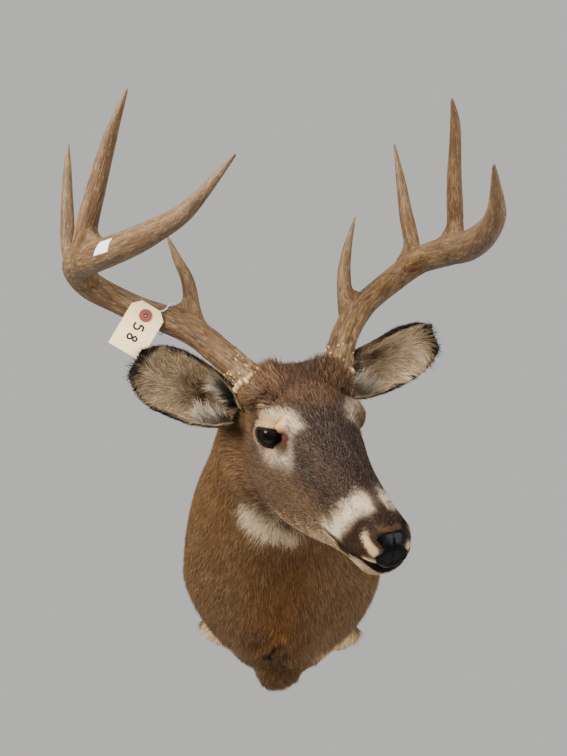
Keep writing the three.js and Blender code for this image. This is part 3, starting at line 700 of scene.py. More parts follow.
# ---------------------------------------------------------------- markings, the same for skin and coat
WARM_BROWN = (0.186, 0.094, 0.034)
CHEST_BROWN = (0.148, 0.056, 0.009)
BRISKET_BROWN = (0.080, 0.030, 0.005)
NAPE_BROWN = (0.12, 0.060, 0.024)
# the neck's lighter sides: partly the coat's own tone, partly painted light
FLANK_BROWN_AND_PAINTED_LIGHT = (0.205, 0.112, 0.045)
FACE_BROWN = (0.092, 0.048, 0.024)
CHEEK_TAN = (0.125, 0.073, 0.036)
BRIDGE_BROWN = (0.029, 0.0155, 0.010)
FOREHEAD_BROWN = (0.118, 0.055, 0.022)
RUSTY = (0.130, 0.045, 0.013)
DARK_BROWN = (0.026, 0.011, 0.006)
BLACKISH = (0.006, 0.005, 0.0045)
CREAM = (0.84, 0.645, 0.435)
FOLD_CREAM = (0.74, 0.51, 0.29)
JAW_CREAM = (0.23, 0.120, 0.046)
CHIN_CREAM = (0.66, 0.45, 0.26)
THROAT_CREAM = (0.98, 0.74, 0.46)
STUB_CREAM = (0.95, 0.64, 0.30)
LID_TAN = (0.95, 0.56, 0.28)
DUCT_BROWN = (0.22, 0.085, 0.035)
DUCT_RED = (0.060, 0.018, 0.010)
ASH = (0.30, 0.235, 0.18)
# marks on the head: [colour, line of mirrored head places, reach, softness, strength, grizzle]
FACE_MARKS = [
    [CHEEK_TAN, [[-30, 58, -70], [50, 44, -52], [110, 33, -36]], 24, 0.6, 0.75, 0.5],
    [FOREHEAD_BROWN, [[-50, 0, 54], [10, 0, 44]], 46, 0.25, 0.95, 0.8],
    [BRIDGE_BROWN, [[30, 12, 36], [80, 8, 30], [150, 8, 26]], 27, 0.35, 0.95, 0.9],
    [BRIDGE_BROWN, [[58, 40, 4], [112, 32, 0]], 16, 0.6, 0.85, 0.9],
    [RUSTY, [[-60, 44, 50]], 25, 0.4, 0.9, 0.3],
    [DARK_BROWN, [[-52, 14, 56], [-44, 0, 56]], 17, 0.5, 0.5, 0.6],
    [DARK_BROWN, [[-30, 50, 38], [-10, 35, 45], [10, 20, 43]], 6, 0.6, 0.55, 0.6],
    [ASH, [[6, 36, 31], [24, 32, 27]], 9, 0.8, 0.75, 0.9],
    [CREAM, [[-9, 52, 27], [0, 43, 31], [12, 34, 29], [22, 32, 27]], 6.5, 0.9, 0.85, 0.9],
    [BRIDGE_BROWN, [[36, 33, 25], [46, 37, 14], [56, 40, 2]], 9, 0.6, 0.8, 0.9],
    [ASH, [[-4, 57, -18], [16, 52, -15], [40, 46, -4]], 9, 0.9, 0.68, 0.9],
    [CREAM, [[8, 53, -12], [24, 50, -9], [38, 46, -3]], 5, 0.9, 0.42, 0.9],
    [ASH, [[20, 38, 24], [33, 42, 14], [42, 44, 4]], 4, 0.8, 0.8, 0.6],
    [CREAM, [[149, 10, 24], [146, 23, 9], [138, 30, -12], [132, 30, -33], [121, 30, -37]],
     11, 0.95, 1.0, 0.9],
    [CREAM, [[150, 6, 25], [162, 10, 21]], 6, 0.6, 0.7, 0.6],
    [JAW_CREAM, [[10, 46, -100], [60, 38, -82], [100, 31, -62], [140, 25, -47]], 10, 0.5, 0.95, 0.15],
    [THROAT_CREAM, [[0, 0, -124], [60, 0, -102], [120, 0, -70], [180, 0, -48]], 28, 0.4, 0.72, 0.2],
    [CHIN_CREAM, [[156, 12, -50], [188, 10, -36]], 17, 0.35, 1.0, 0.1],
    [BRIDGE_BROWN, [[172, 8, 20], [182, 2, 16]], 10, 0.4, 1.0, 0.6],
    [DARK_BROWN, [[104, 0, 29], [150, 0, 26], [184, 0, 17]], 6.5, 0.5, 0.9, 0.4],
    [DARK_BROWN, [[156, 29, -24], [165, 29, -14], [170, 29, 0], [172, 25, 10]], 10.5, 0.45, 1.0, 0.15],
    [DARK_BROWN, [[140, 25, -41], [154, 26, -38]], 6, 0.4, 1.0, 0.1],
    [DARK_BROWN, [[174, 24, 12], [182, 16, 15], [186, 0, 17]], 5.5, 0.6, 0.85, 0.6],
    [DARK_BROWN, [[166, 28, -19], [176, 27, -14], [184, 25, -8]], 6.5, 0.5, 0.9, 0.3],
    [FOLD_CREAM, [[181, 24, 8], [187, 23, 3], [192, 19.5, -2]], 4.2, 0.5, 1.0, 0.3],
    [JAW_CREAM, [[183, 12, 17.5], [186, 0, 18.2]], 2.6, 0.9, 0.6, 1.0],
]
# head places along the dark fold beside the left nostril
FAR_NOSTRIL_FOLD = [[180, 20, 15], [186, 24, 9], [188, 24, 5]]
# marks on the body, the two tips of the leg stubs last: [colour, line of places, reach, softness, strength]
BODY_MARKS = [
    [CHEST_BROWN, [[0, -196, -30], [4, -176, -80], [0, -130, -140]], 44, 0.55, 0.85],
    # lighter flanks, partly painted light; the left one is wider and stronger, as painted light on that lit
    # side
    [FLANK_BROWN_AND_PAINTED_LIGHT, [[-110, -120, -20], [-106, -110, -110]], 46, 0.6, 0.7],
    [FLANK_BROWN_AND_PAINTED_LIGHT, [[108, -120, -10], [100, -120, -110]], 58, 0.6, 0.8],
    [THROAT_CREAM, [[-40, -240, 52], [-24, -236, 42]], 18, 0.5, 1.0],
    [THROAT_CREAM, [[-20, -232, 38], [6, -226, 30]], 11, 0.7, 0.6],
    [BRISKET_BROWN, [[-26, -120, -150], [-16, -112, -176], [-4, -104, -206]], 27, 0.6, 0.75],
    [STUB_CREAM, [[-98, -56, -176], [-76, -84, -180]], 10, 0.5, 0.85],
    [STUB_CREAM, [[92, -70, -168], [72, -86, -178], [54, -98, -186]], 11, 0.5, 0.85],
    [STUB_CREAM, [[-112, -44, -166], [-84, -44, -184]], 17, 0.35, 1.0],
    [STUB_CREAM, [[68, -60, -180], [98, -50, -170]], 17, 0.35, 1.0],
]


def mark_share(points, line, reach, softness, edge):
    """1 within reach of a mark's line and 0 well outside; edge is the raggedness of its border."""
    gap, _ = line_distance(points, line)
    return 1 - ramp(gap / reach + edge, 1 - softness, 1 + softness)


class Pelage:
    """The coat's colours as they are built up, and how strongly single hairs differ from them."""

    def __init__(self, count):
        self.colour = np.tile(WARM_BROWN, (count, 1)).astype(float)
        self.grizzle = np.full(count, 0.35)

    def blend(self, target, weight, grizzled=None):
        self.colour = mixed(self.colour, target, weight)
        if grizzled is not None:
            self.grizzle = self.grizzle * (1 - weight) + grizzled * weight


def mark_body(coat, points, ragged):
    """The darker nape, the marks of chest and stubs, and painted shade in the creases of the brisket."""
    _, height, _, _ = body_place(points)
    coat.blend(NAPE_BROWN, ramp(height + 0.2 * ragged, 0.62, 0.95) * 0.8)
    for hue, line, reach, softness, strength in BODY_MARKS:
        coat.blend(hue, mark_share(points, line, reach, softness, ragged) * strength)
    # painted shade: the brisket's creases darkened to brown and, deepest, to black, as if in shadow
    folds = np.zeros(len(points))
    for crease in BRISKET_CREASES:
        folds = np.maximum(folds, bump(line_distance(points, crease)[0], 0, 6.5))
    coat.blend(DARK_BROWN, folds * 0.95)
    coat.blend(BLACKISH, ramp(folds, 0.6, 0.95))
    coat.colour = coat.colour * (1 + 0.16 * wobble(points, 52, 16) + 0.10 * wobble(points, 20, 17))[:, None]


def mark_face(coat, points, head, on_head, ragged):
    """The marks of the face, the pale ones speckled with brown and weaker on the left brow."""
    m = mirrored(head)
    coat.blend(FACE_BROWN, on_head * ramp(m[:, 0], -95, -20), 0.6)
    speckle = np.clip(wobble(points, 2.4, 22) + 0.6 * wobble(points, 6, 23) - 0.1, 0, 1)
    for hue, line, reach, softness, strength, grizzled in FACE_MARKS:
        mark = mark_share(m, line, reach, softness, ragged) * strength * ramp(on_head, 0.1, 0.6)
        if hue in (CREAM, ASH):
            mark = mark * (1 - 0.8 * speckle) * np.where((head[:, 1] > 8) & (head[:, 0] < 60), 0.5, 1.0)
        coat.blend(hue, mark, grizzled)
    far_fold = mark_share(head, FAR_NOSTRIL_FOLD, 7, 0.4, ragged)
    coat.blend(BLACKISH, far_fold * on_head * 0.95, 0.1)


def mark_eyes(coat, head, on_head):
    """The bare tan band round the lids, the tear duct and the black edge of the lids."""
    m = mirrored(head)
    rim, above, r, _ = eye_place(m)
    round_eye = (r < 40) * on_head
    over_lid = np.where(above > LID_CORNER, 0.95, 0.30) * np.where(head[:, 1] > 0, 0.1, 1.0)
    coat.blend(LID_TAN, round_eye * bump(rim, 3.8, 3.6) * over_lid, 0.1)
    duct, along = line_distance(m, TEAR_DUCT)
    coat.blend(DUCT_BROWN, bump(duct, 0, 6.5) * (1 - 0.6 * along) * on_head * 0.9, 0.05)
    coat.blend(DUCT_RED, bump(duct, 0, 2.6) * (1 - 0.5 * along) * on_head, 0.05)
    at_lid = 1 - ramp(r, EYE["radius"] + 2.5, EYE["radius"] + 4)
    coat.blend(BLACKISH, round_eye * (1 - ramp(rim, 1.7, 2.9)) * at_lid, 0)


def mark_mouth(coat, m, on_head):
    """The dark line of the lips with its pale roll, the dark mouth and the nostrils."""
    over = over_mouth(m)
    on_mouth = ramp(m[:, 0], MOUTH_CORNER_X - 2, MOUTH_CORNER_X + 5) * on_head
    coat.blend(DARK_BROWN, on_mouth * bump(over, 3.4, 2.2) * (1 - ramp(m[:, 0], 182, 187)) * 0.9, 0.1)
    pale_roll = on_mouth * bump(over, 3.6, 1.6) * ramp(m[:, 0], 184, 189) * ramp(m[:, 1], 14, 18)
    coat.blend(FOLD_CREAM, pale_roll * 0.9, 0.05)
    under = 2.2 + 9.0 * ramp(m[:, 0], 185, 196)
    coat.blend(BLACKISH, on_mouth * ramp(over, -under - 1.2, -under) * (1 - ramp(over, 1.6, 2.7)), 0)
    slit, _ = line_distance(m, NOSTRIL_SLIT)
    coat.blend(DUCT_RED, bump(slit, 0, 2.8) * 0.9, 0)
    coat.blend(BLACKISH, 1 - ramp(slit, 0.8, 2.0), 0)


def markings(points, stray=0.0):
    """Colour, and how strongly single hairs differ from it; stray hairs carry a mark past its border."""
    head = to_head(points)
    on_head = head_share(head)
    ragged = 0.16 * wobble(points, 13, 1) + 0.12 * wobble(points, 5, 2) + stray * (1 + 0.5 * on_head)
    ragged = ragged + 0.20 * on_head * wobble(points, 3.2, 21)
    coat = Pelage(len(points))
    mark_body(coat, points, ragged)
    mark_face(coat, points, head, on_head, ragged)
    mark_eyes(coat, head, on_head)
    mark_mouth(coat, mirrored(head), on_head)
    return coat.colour, coat.grizzle


# ---------------------------------------------------------------- materials
class Nodes:
    """Short calls for building a material's node tree."""

    def __init__(self, name):
        self.material = bpy.data.materials.new(name)
        self.material.use_nodes = True
        self.tree = self.material.node_tree
        self.shader = self.tree.nodes["Principled BSDF"]

    def add(self, kind, **values):
        node = self.tree.nodes.new(kind)
        for key, value in values.items():
            if key in node.inputs:
                node.inputs[key].default_value = value
            else:
                setattr(node, key, value)
        return node

    def link(self, output, target):
        self.tree.links.new(output, target)

    def set(self, **values):
        for key, value in values.items():
            self.shader.inputs[key.replace("_", " ")].default_value = value

    def attribute(self, name):
        return self.add("ShaderNodeAttribute", attribute_name=name)

    def place(self, vector=None, scale=(1, 1, 1)):
        """Object-space places, or a stored vector, stretched by scale."""
        mapping = self.add("ShaderNodeMapping")
        mapping.inputs["Scale"].default_value = scale
        source = vector or self.add("ShaderNodeTexCoord").outputs["Object"]
        self.link(source, mapping.inputs["Vector"])
        return mapping.outputs["Vector"]

    def noise(self, vector, scale, detail=4, roughness=0.6):
        node = self.add("ShaderNodeTexNoise", Scale=scale, Detail=detail, Roughness=roughness)
        self.link(vector, node.inputs["Vector"])
        return node.outputs["Fac"]

    def spread(self, value, low, high, to_low=0.0, to_high=1.0):
        node = self.add("ShaderNodeMapRange")
        for key, number in (("From Min", low), ("From Max", high), ("To Min", to_low), ("To Max", to_high)):
            node.inputs[key].default_value = number
        self.link(value, node.inputs["Value"])
        return node.outputs["Result"]

    def blend(self, factor, first, second, mode="MIX"):
        """Mixes two colours, each an output or a plain colour."""
        node = self.add("ShaderNodeMix", data_type="RGBA", blend_type=mode)
        slots = (node.inputs[0], node.inputs[6], node.inputs[7])
        for slot, value in zip(slots, (factor, first, second)):
            if isinstance(value, bpy.types.NodeSocket):
                self.link(value, slot)
            else:
                slot.default_value = value if isinstance(value, float) else (*value, 1)
        return node.outputs[2]

    def lines(self, value, width):
        """1 along the thin contours where a noise passes its middle value, 0 beside them."""
        middle = self.add("ShaderNodeMath", operation="SUBTRACT")
        self.link(value, middle.inputs[0])
        middle.inputs[1].default_value = 0.5
        beside = self.add("ShaderNodeMath", operation="ABSOLUTE")
        self.link(middle.outputs[0], beside.inputs[0])
        return self.spread(beside.outputs[0], 0.0, width, 1.0, 0.0)

    def colour(self, output):
        self.link(output, self.shader.inputs["Base Color"])

    def rough(self, output):
        self.link(output, self.shader.inputs["Roughness"])

    def raised(self, height, distance, strength=1.0):
        node = self.add("ShaderNodeBump", Strength=strength, Distance=distance * MM)
        self.link(height, node.inputs["Height"])
        self.link(node.outputs["Normal"], self.shader.inputs["Normal"])


def fur_material(name, roughness):
    """Strands: the painted colour, varied along and between hairs."""
    n = Nodes(name)
    hue = n.attribute("hue").outputs["Color"]
    fine = n.noise(n.place(scale=(1, 1, 0.4)), 900, 2)
    broad = n.noise(n.place(), 90, 3)
    hairs, patches = n.spread(fine, 0.3, 0.7, 0.72, 1.28), n.spread(broad, 0.3, 0.7, 0.82, 1.18)
    shade = n.blend(0.55, hairs, patches, "MULTIPLY")
    n.colour(n.blend(1.0, hue, shade, "MULTIPLY"))
    n.rough(n.spread(fine, 0.3, 0.7, roughness - 0.08, roughness + 0.08))
    n.set(Specular_IOR_Level=0.12)
    return n.material


def skin_material():
    """Hide seen between the tufts: darker than the coat, with lying hair as bump."""
    n = Nodes("hide_under_coat")
    hue = n.attribute("hue").outputs["Color"]
    lying = n.noise(n.place(scale=(1, 0.6, 0.16)), 1500, 3)
    pores = n.noise(n.place(), 420, 4)
    n.colour(n.blend(1.0, hue, n.spread(lying, 0.3, 0.7, 0.45, 1.0), "MULTIPLY"))
    n.rough(n.spread(pores, 0.3, 0.7, 0.55, 0.8))
    n.raised(n.blend(0.35, lying, pores), 0.7, 0.8)
    n.set(Specular_IOR_Level=0.03)
    return n.material


def antler_material():
    """Bone: painted tone, fine grain along the beam, dark fill in the grooves and smoother ridges."""
    n = Nodes("weathered_antler")
    grain = n.attribute("grain").outputs["Vector"]
    hue = n.attribute("hue").outputs["Color"]
    streaks = n.noise(n.place(grain, (0.12, 1, 1)), 700, 6, 0.65)
    stains = n.noise(n.place(grain, (0.5, 1, 1)), 70, 4)
    specks = n.noise(n.place(grain), 520, 3)
    ridges = n.lines(n.noise(n.place(grain, (0.09, 1, 1)), 230, 2), 0.035)
    furrows = n.lines(n.noise(n.place(grain, (0.07, 1, 1)), 180, 2), 0.05)
    fine, broad = n.spread(streaks, 0.34, 0.66, 0.76, 1.16), n.spread(stains, 0.3, 0.7, 0.80, 1.14)
    toned = n.blend(1.0, hue, n.blend(1.0, fine, broad, "MULTIPLY"), "MULTIPLY")
    toned = n.blend(n.spread(furrows, 0, 1, 0, 0.40), toned, (0.060, 0.028, 0.011))
    toned = n.blend(n.spread(ridges, 0, 1, 0, 0.30), toned, (0.42, 0.29, 0.145))
    n.colour(n.blend(n.spread(specks, 0.62, 0.68, 0.0, 0.8), toned, (0.030, 0.014, 0.006)))
    n.rough(n.spread(streaks, 0.3, 0.7, 0.62, 0.40))
    n.raised(n.blend(0.5, streaks, n.blend(0.5, ridges, n.spread(furrows, 0, 1, 1, 0))), 0.6, 0.8)
    n.set(Specular_IOR_Level=0.25)
    return n.material


def bead_material():
    """Polished pale bone, dark in its pits."""
    n = Nodes("pearled_bone")
    pits = n.noise(n.place(), 700, 3)
    hue = n.attribute("hue").outputs["Color"]
    n.colour(n.blend(1.0, hue, n.spread(pits, 0.3, 0.55, 0.45, 1.1), "MULTIPLY"))
    n.rough(n.spread(pits, 0.3, 0.7, 0.55, 0.38))
    n.raised(pits, 0.2, 0.6)
    n.set(Specular_IOR_Level=0.25)
    return n.material


def nose_material():
    """Moist black leather: pebbles, a faint grey bloom and a wet coat."""
    n = Nodes("moist_nose")
    pebbles = n.add("ShaderNodeTexVoronoi", feature="SMOOTH_F1", Scale=820, Smoothness=0.6)
    n.link(n.place(), pebbles.inputs["Vector"])
    bloom = n.noise(n.place(), 160, 4)
    n.colour(n.blend(n.spread(bloom, 0.42, 0.7), (0.001, 0.001, 0.0011), (0.003, 0.0029, 0.003)))
    n.rough(n.spread(bloom, 0.3, 0.7, 0.20, 0.32))
    n.raised(pebbles.outputs["Distance"], 0.35, 0.7)
    n.set(Specular_IOR_Level=0.07, Coat_Weight=0.05, Coat_Roughness=0.07)
    return n.material


def eye_material():
    """Glass eye: the painted iris and pupil, broken up by fine rays, under a clear polished front."""
    n = Nodes("glass_eye")
    hue = n.attribute("hue").outputs["Color"]
    rays = n.noise(n.place(), 900, 3)
    n.colour(n.blend(1.0, hue, n.spread(rays, 0.3, 0.7, 0.7, 1.3), "MULTIPLY"))
    n.rough(n.spread(rays, 0.0, 1.0, 0.05, 0.09))
    n.set(Specular_IOR_Level=0.12, Coat_Weight=0.03, Coat_Roughness=0.02)
    return n.material


def wet_rim_material():
    n = Nodes("lid_edge")
    patchy = n.noise(n.place(), 600, 3)
    n.colour(n.blend(patchy, (0.004, 0.003, 0.003), (0.014, 0.009, 0.007)))
    n.rough(n.spread(patchy, 0.3, 0.7, 0.28, 0.5))
    n.raised(patchy, 0.15, 0.5)
    n.set(Specular_IOR_Level=0.15)
    return n.material


def card_material():
    """Manila card: fibres, faint mottling and soiling."""
    n = Nodes("manila_card")
    fibres = n.noise(n.place(scale=(1, 1, 0.3)), 1500, 4)
    mottle = n.noise(n.place(), 90, 4)
    base = n.blend(n.spread(mottle, 0.35, 0.7), (0.97, 0.75, 0.42), (0.90, 0.68, 0.35))
    n.colour(n.blend(n.spread(fibres, 0.55, 0.75, 0.0, 0.2), base, (0.58, 0.44, 0.26)))
    n.rough(n.spread(fibres, 0.3, 0.7, 0.66, 0.82))
    n.raised(fibres, 0.12, 0.5)
    return n.material


def paper_material(name, first, second):
    n = Nodes(name)
    fibres = n.noise(n.place(), 1300, 4)
    n.colour(n.blend(n.spread(fibres, 0.35, 0.65), first, second))
    n.rough(n.spread(fibres, 0.3, 0.7, 0.55, 0.75))
    n.raised(fibres, 0.08, 0.4)
    return n.material


def ink_material():
    n = Nodes("pen_ink")
    pooled = n.noise(n.place(), 800, 3)
    n.colour(n.blend(pooled, (0.004, 0.004, 0.005), (0.010, 0.010, 0.012)))
    n.rough(n.spread(pooled, 0.3, 0.7, 0.4, 0.6))
    return n.material


def string_material():
    n = Nodes("cotton_string")
    fibres = n.noise(n.place(), 2200, 3)
    n.colour(n.blend(n.spread(fibres, 0.3, 0.7), (0.62, 0.57, 0.49), (0.84, 0.80, 0.73)))
    n.rough(n.spread(fibres, 0.3, 0.7, 0.75, 0.9))
    n.raised(fibres, 0.15, 0.6)
    return n.material


def plywood_material():
    """Back board: face grain along Z and the plies showing as bands through its thickness."""
    n = Nodes("plywood")
    grain = n.noise(n.place(scale=(1, 1, 0.08)), 260, 5)
    face = n.blend(n.spread(grain, 0.35, 0.65), (0.46, 0.31, 0.17), (0.60, 0.43, 0.26))
    plies = n.add("ShaderNodeTexWave", bands_direction="Y", Scale=55, Distortion=0.4)
    n.link(n.place(), plies.inputs["Vector"])
    n.colour(n.blend(n.spread(plies.outputs["Fac"], 0.45, 0.6, 0.0, 0.4), face, (0.22, 0.13, 0.07)))
    n.rough(n.spread(grain, 0.3, 0.7, 0.55, 0.75))
    n.raised(grain, 0.2, 0.5)
    return n.material


def floor_material():
    n = Nodes("plain_floor")
    faint = n.noise(n.place(), 6, 2)
    n.colour(n.blend(n.spread(faint, 0.3, 0.7), (0.74, 0.73, 0.71), (0.77, 0.76, 0.74)))
    n.set(Roughness=0.8)
    return n.material


FUR = fur_material("short_coat", 0.62)
LONG_FUR = fur_material("long_coat", 0.52)
SKIN = skin_material()
ANTLER = antler_material()
BEAD_BONE = bead_material()
NOSE = nose_material()
EYE_GLASS = eye_material()
WET_RIM = wet_rim_material()
CARD = card_material()


# ---------------------------------------------------------------- tufts of the coat
PIECE_TRIANGLES = 192000  # the most that one piece of the coat has
STRAIGHT_TRIANGLES, BENT_TRIANGLES = 4, 10  # of one closed three-sided tuft
PATCH = 0.003  # a tuft's patch on the unwrapped skin


def scatter(rng, points, faces, normals, per_mm2):
    """Roots spread over the faces: place, normal, and the face and corner weights they lie at."""
    corners = points[faces]
    edges = corners[:, 1:] - corners[:, :1]
    area = 0.5 * np.linalg.norm(np.cross(edges[:, 0], edges[:, 1]), axis=1)
    wanted = area * per_mm2[faces].mean(1)
    counts = np.floor(wanted + rng.random(len(faces))).astype(int)
    index = np.repeat(np.arange(len(faces)), counts)
    first, second = rng.random((2, len(index)))
    root = np.sqrt(first)
    weights = np.stack([1 - root, root * (1 - second), root * second], 1)
    place = np.einsum("nk,nkc->nc", weights, corners[index])
    normal = unit(np.einsum("nk,nkc->nc", weights, normals[faces[index]]))
    return place, normal, index, weights


def carried(values, faces, index, weights):
    """A vertex value read at the scattered places."""
    return np.einsum("nk,nk...->n...", weights, values[faces[index]])


def tuft_rows(roots, normals, flow, length, width, lift, root_hue, tip_hue, uv, sink=0.5, sag=0.0):
    """What a set of tufts is built from: roots, directions, sizes, colours and places on the unwrap."""
    along = unit(flow - np.sum(flow * normals, 1, keepdims=True) * normals)
    count = len(roots)
    return {"root": roots, "normal": normals, "along": along, "length": length, "width": width, "lift": lift,
            "root_hue": root_hue, "tip_hue": tip_hue, "uv": uv, "sink": np.broadcast_to(sink, count),
            "sag": np.broadcast_to(sag, count)}


def picked(rows, chosen):
    """The rows of the chosen tufts alone."""
    return {key: value[chosen] for key, value in rows.items()}


def build_tufts(name, rows, material, bent=False):
    """The tufts as pieces below the size limit; bent tufts have a joint halfway."""
    total = len(rows["root"])
    limit = PIECE_TRIANGLES // (BENT_TRIANGLES if bent else STRAIGHT_TRIANGLES)
    parts = max(1, -(-total // limit))
    for part in range(parts):
        label = name if parts == 1 else f"{name}_{part + 1}"
        chosen = slice(part * total // parts, (part + 1) * total // parts)
        build_tuft_piece(label, picked(rows, chosen), material, bent)


def tuft_layers(rows, bent):
    """The middles of the tufts' sections, from the root to the tip."""
    normal, along = rows["normal"], rows["along"]
    length, lift = rows["length"][:, None], rows["lift"][:, None]
    base = rows["root"] - normal * rows["sink"][:, None]
    if not bent:
        return [base, base + length * (along * np.cos(lift) + normal * np.sin(lift))]
    joint = base + 0.5 * length * (along * np.cos(lift) + normal * np.sin(lift))
    late = lift - rows["sag"][:, None]
    return [base, joint, joint + 0.5 * length * (along * np.cos(late) + normal * np.sin(late))]


def tuft_pattern(sections):
    """Triangles of one tuft whose corners are numbered from the root's three to the tip."""
    sides = ((1, 0), (2, 1), (0, 2))
    pattern = [[0, 1, 2]]
    for low in range(0, 3 * (sections - 1), 3):
        high = low + 3
        for a, b in sides:
            pattern += [[low + a, low + b, high + b], [low + a, high + b, high + a]]
    last = 3 * (sections - 1)
    return np.array(pattern + [[last + a, last + b, last + 3] for a, b in sides])


def build_tuft_piece(name, rows, material, bent):
    """One joined mesh of tufts, each wrapped on its own patch of the unwrapped skin."""
    normal, along, width = rows["normal"], rows["along"], rows["width"][:, None]
    side = np.cross(normal, along)
    *sections, tip = tuft_layers(rows, bent)
    points, hues, shades, uvs = [], [], [], []
    for k, centre in enumerate(sections):
        slim = width * (1.0 if k == 0 else 0.72)
        hue = rows["root_hue"] if k == 0 else 0.4 * rows["root_hue"] + 0.6 * rows["tip_hue"]
        for across, out in ((0.5, 0.0), (-0.5, 0.0), (0.0, 0.55)):
            points.append(centre + side * slim * across + normal * slim * out)
            hues.append(hue)
            shades.append(unit(normal + side * across * 0.9 + along * 0.12))
            uvs.append(rows["uv"] + PATCH * np.array([across, 0.5 * k]))
    points.append(tip)
    hues.append(rows["tip_hue"])
    shades.append(unit(normal + along * 0.35))
    uvs.append(rows["uv"] + PATCH * np.array([0.0, 1.0]))
    count, corners = len(normal), len(points)
    stacked = [np.stack(values, 1).reshape(count * corners, -1) for values in (points, hues, shades, uvs)]
    faces = tuft_pattern(len(sections))[None] + (np.arange(count) * corners)[:, None, None]
    faces = faces.reshape(-1, 3)
    mesh = make_mesh(name, stacked[0], faces)
    paint(mesh, "hue", stacked[1])
    layer = mesh.uv_layers.new(name="OFBake")
    layer.data.foreach_set("uv", np.clip(stacked[3], 0, 1)[faces.ravel()].astype(np.float32).ravel())
    mesh.normals_split_custom_set_from_vertices(stacked[2].astype(np.float32))
    mesh.materials.append(material)
    dress(add_object(name, mesh))


def hair_hues(rng, colour, grizzle, deep=0.5):
    """Root and tip colours of single tufts: darker roots, and paler and darker hairs among the rest."""
    count = len(colour)
    tone = np.exp(rng.normal(0, 0.13 + 0.16 * grizzle))
    pick = rng.random(count)
    pale = (pick < 0.32 * grizzle)[:, None]
    dark = (pick > 1 - 0.45 * grizzle)[:, None]
    grey = colour.mean(1, keepdims=True)
    tip = colour * tone[:, None]
    tip = np.where(pale, tip * 1.15 + 0.10 * np.array([1.0, 0.84, 0.66]) + 0.3 * grey * (1 - grey), tip)
    tip = np.where(dark, tip * 0.24, tip)
    root = colour * deep * tone[:, None] ** 0.5
    root = np.where(pale, root * 0.7, root)
    return np.clip(root, 0.001, 0.95), np.clip(tip, 0.001, 0.95)


def flow_on_skin(points, head, m):
    """The lie of the coat: back from the nose over the face, down the neck and chest."""
    x, y, z = head.T
    on_head = head_share(head)[:, None]
    side = np.sign(y)
    face = np.tile([-1.0, 0.0, 0.05], (len(points), 1))
    face[:, 1] += 0.30 * side * ramp(m[:, 1], 6, 30) * ramp(x, 100, 20)
    face[:, 2] -= 0.35 * ramp(-z, 10, 70)
    crown = ramp(-x, 12, 60) * ramp(z, 20, 44)
    face += crown[:, None] * np.stack([0.35 * np.ones(len(x)), 0.1 * side, np.ones(len(x))], 1)
    rim, _, r, away = eye_place(m)
    away[:, 1] *= np.where(y < 0, -1, 1)
    face += away * (np.exp(-np.clip(rim, 0, None) / 7) * (r < 40) * 1.5)[:, None]
    face = face @ HEAD_AXES
    _, height, across, _ = body_place(points)
    high = ramp(height, 0.55, 0.98)[:, None]
    chest = np.stack([0.18 * np.sign(points[:, 0]) * ramp(np.abs(points[:, 0]), 5, 60),
                      0.35 + 0.25 * ramp(np.abs(across), 0.5, 1.0), -0.92 * np.ones(len(points))], 1)
    nape = np.stack([0.25 * np.sign(across) * ramp(np.abs(across), 0.1, 0.6), np.ones(len(points)),
                     -0.22 - 0.3 * ramp(np.abs(across), 0.2, 0.8)], 1)
    body = chest * (1 - high) + nape * high
    throat = points - np.array([-14, -238, 44])
    near = np.exp(-((np.linalg.norm(throat * [1, 0.5, 1.2], axis=1) / 42) ** 2))[:, None]
    body = unit(body) + 0.9 * near * unit(throat)
    flow = face * on_head + unit(body) * (1 - on_head)
    swirl = np.stack([wobble(points, 34, 5), wobble(points, 34, 6), wobble(points, 34, 7)], 1)
    locks = np.stack([wobble(points, 7, 8), wobble(points, 7, 9), wobble(points, 7, 10)], 1)
    return unit(flow) + 0.30 * swirl + (0.20 + 0.12 * (1 - on_head)) * locks


# head x, and how long the hair of the face is there
FACE_LENGTH = [[-110, -60, -20, 30, 80, 130, 165, 185, 197], [15, 10.5, 7.2, 5.4, 4.4, 3.6, 2.9, 2.2, 1.8]]


def coat_style(points, head, m):
    """Length, width, lift and cover of the coat at each place."""
    on_head = head_share(head)
    length = 14 + 4 * ramp(-points[:, 2], -40, 120)
    length += 5 * np.exp(-((np.linalg.norm((points - [-10, -238, 34]) * [1, 0.5, 1.3], axis=1) / 40) ** 2))
    for crease in BRISKET_CREASES:
        length = length - 12 * bump(line_distance(points, crease)[0], 0, 8)
    length = np.maximum(length - 5 * ramp(-points[:, 2], 150, 200), 7)
    stub = np.maximum(*(mark_share(points, tip[1], 22, 0.3, 0) for tip in BODY_MARKS[-2:]))
    length = length * (1 - 0.35 * stub)
    face = np.interp(m[:, 0], *FACE_LENGTH)
    face += 5 * mark_share(m, [[-60, 44, 50]], 26, 0.4, 0)
    rim, _, r, _ = eye_place(m)
    by_eye = (r < 40) * (1 - ramp(rim, 3, 12))
    face = face * (1 - 0.55 * by_eye)
    length = face * on_head + length * (1 - on_head)
    width = np.interp(length, [2, 5, 9, 16, 30], [0.45, 0.62, 0.82, 1.05, 1.4])
    lift = np.radians(np.interp(length, [2, 6, 12, 20, 30], [20, 16, 15, 13, 14]))
    lift += np.radians(14) * mark_share(m, [[-60, 20, 52], [-60, 44, 50]], 24, 0.4, 0)
    cover = 3.1 + 0.9 * (1 - on_head) - 1.1 * ramp(m[:, 0], 70, 110)
    return length, width, lift, cover


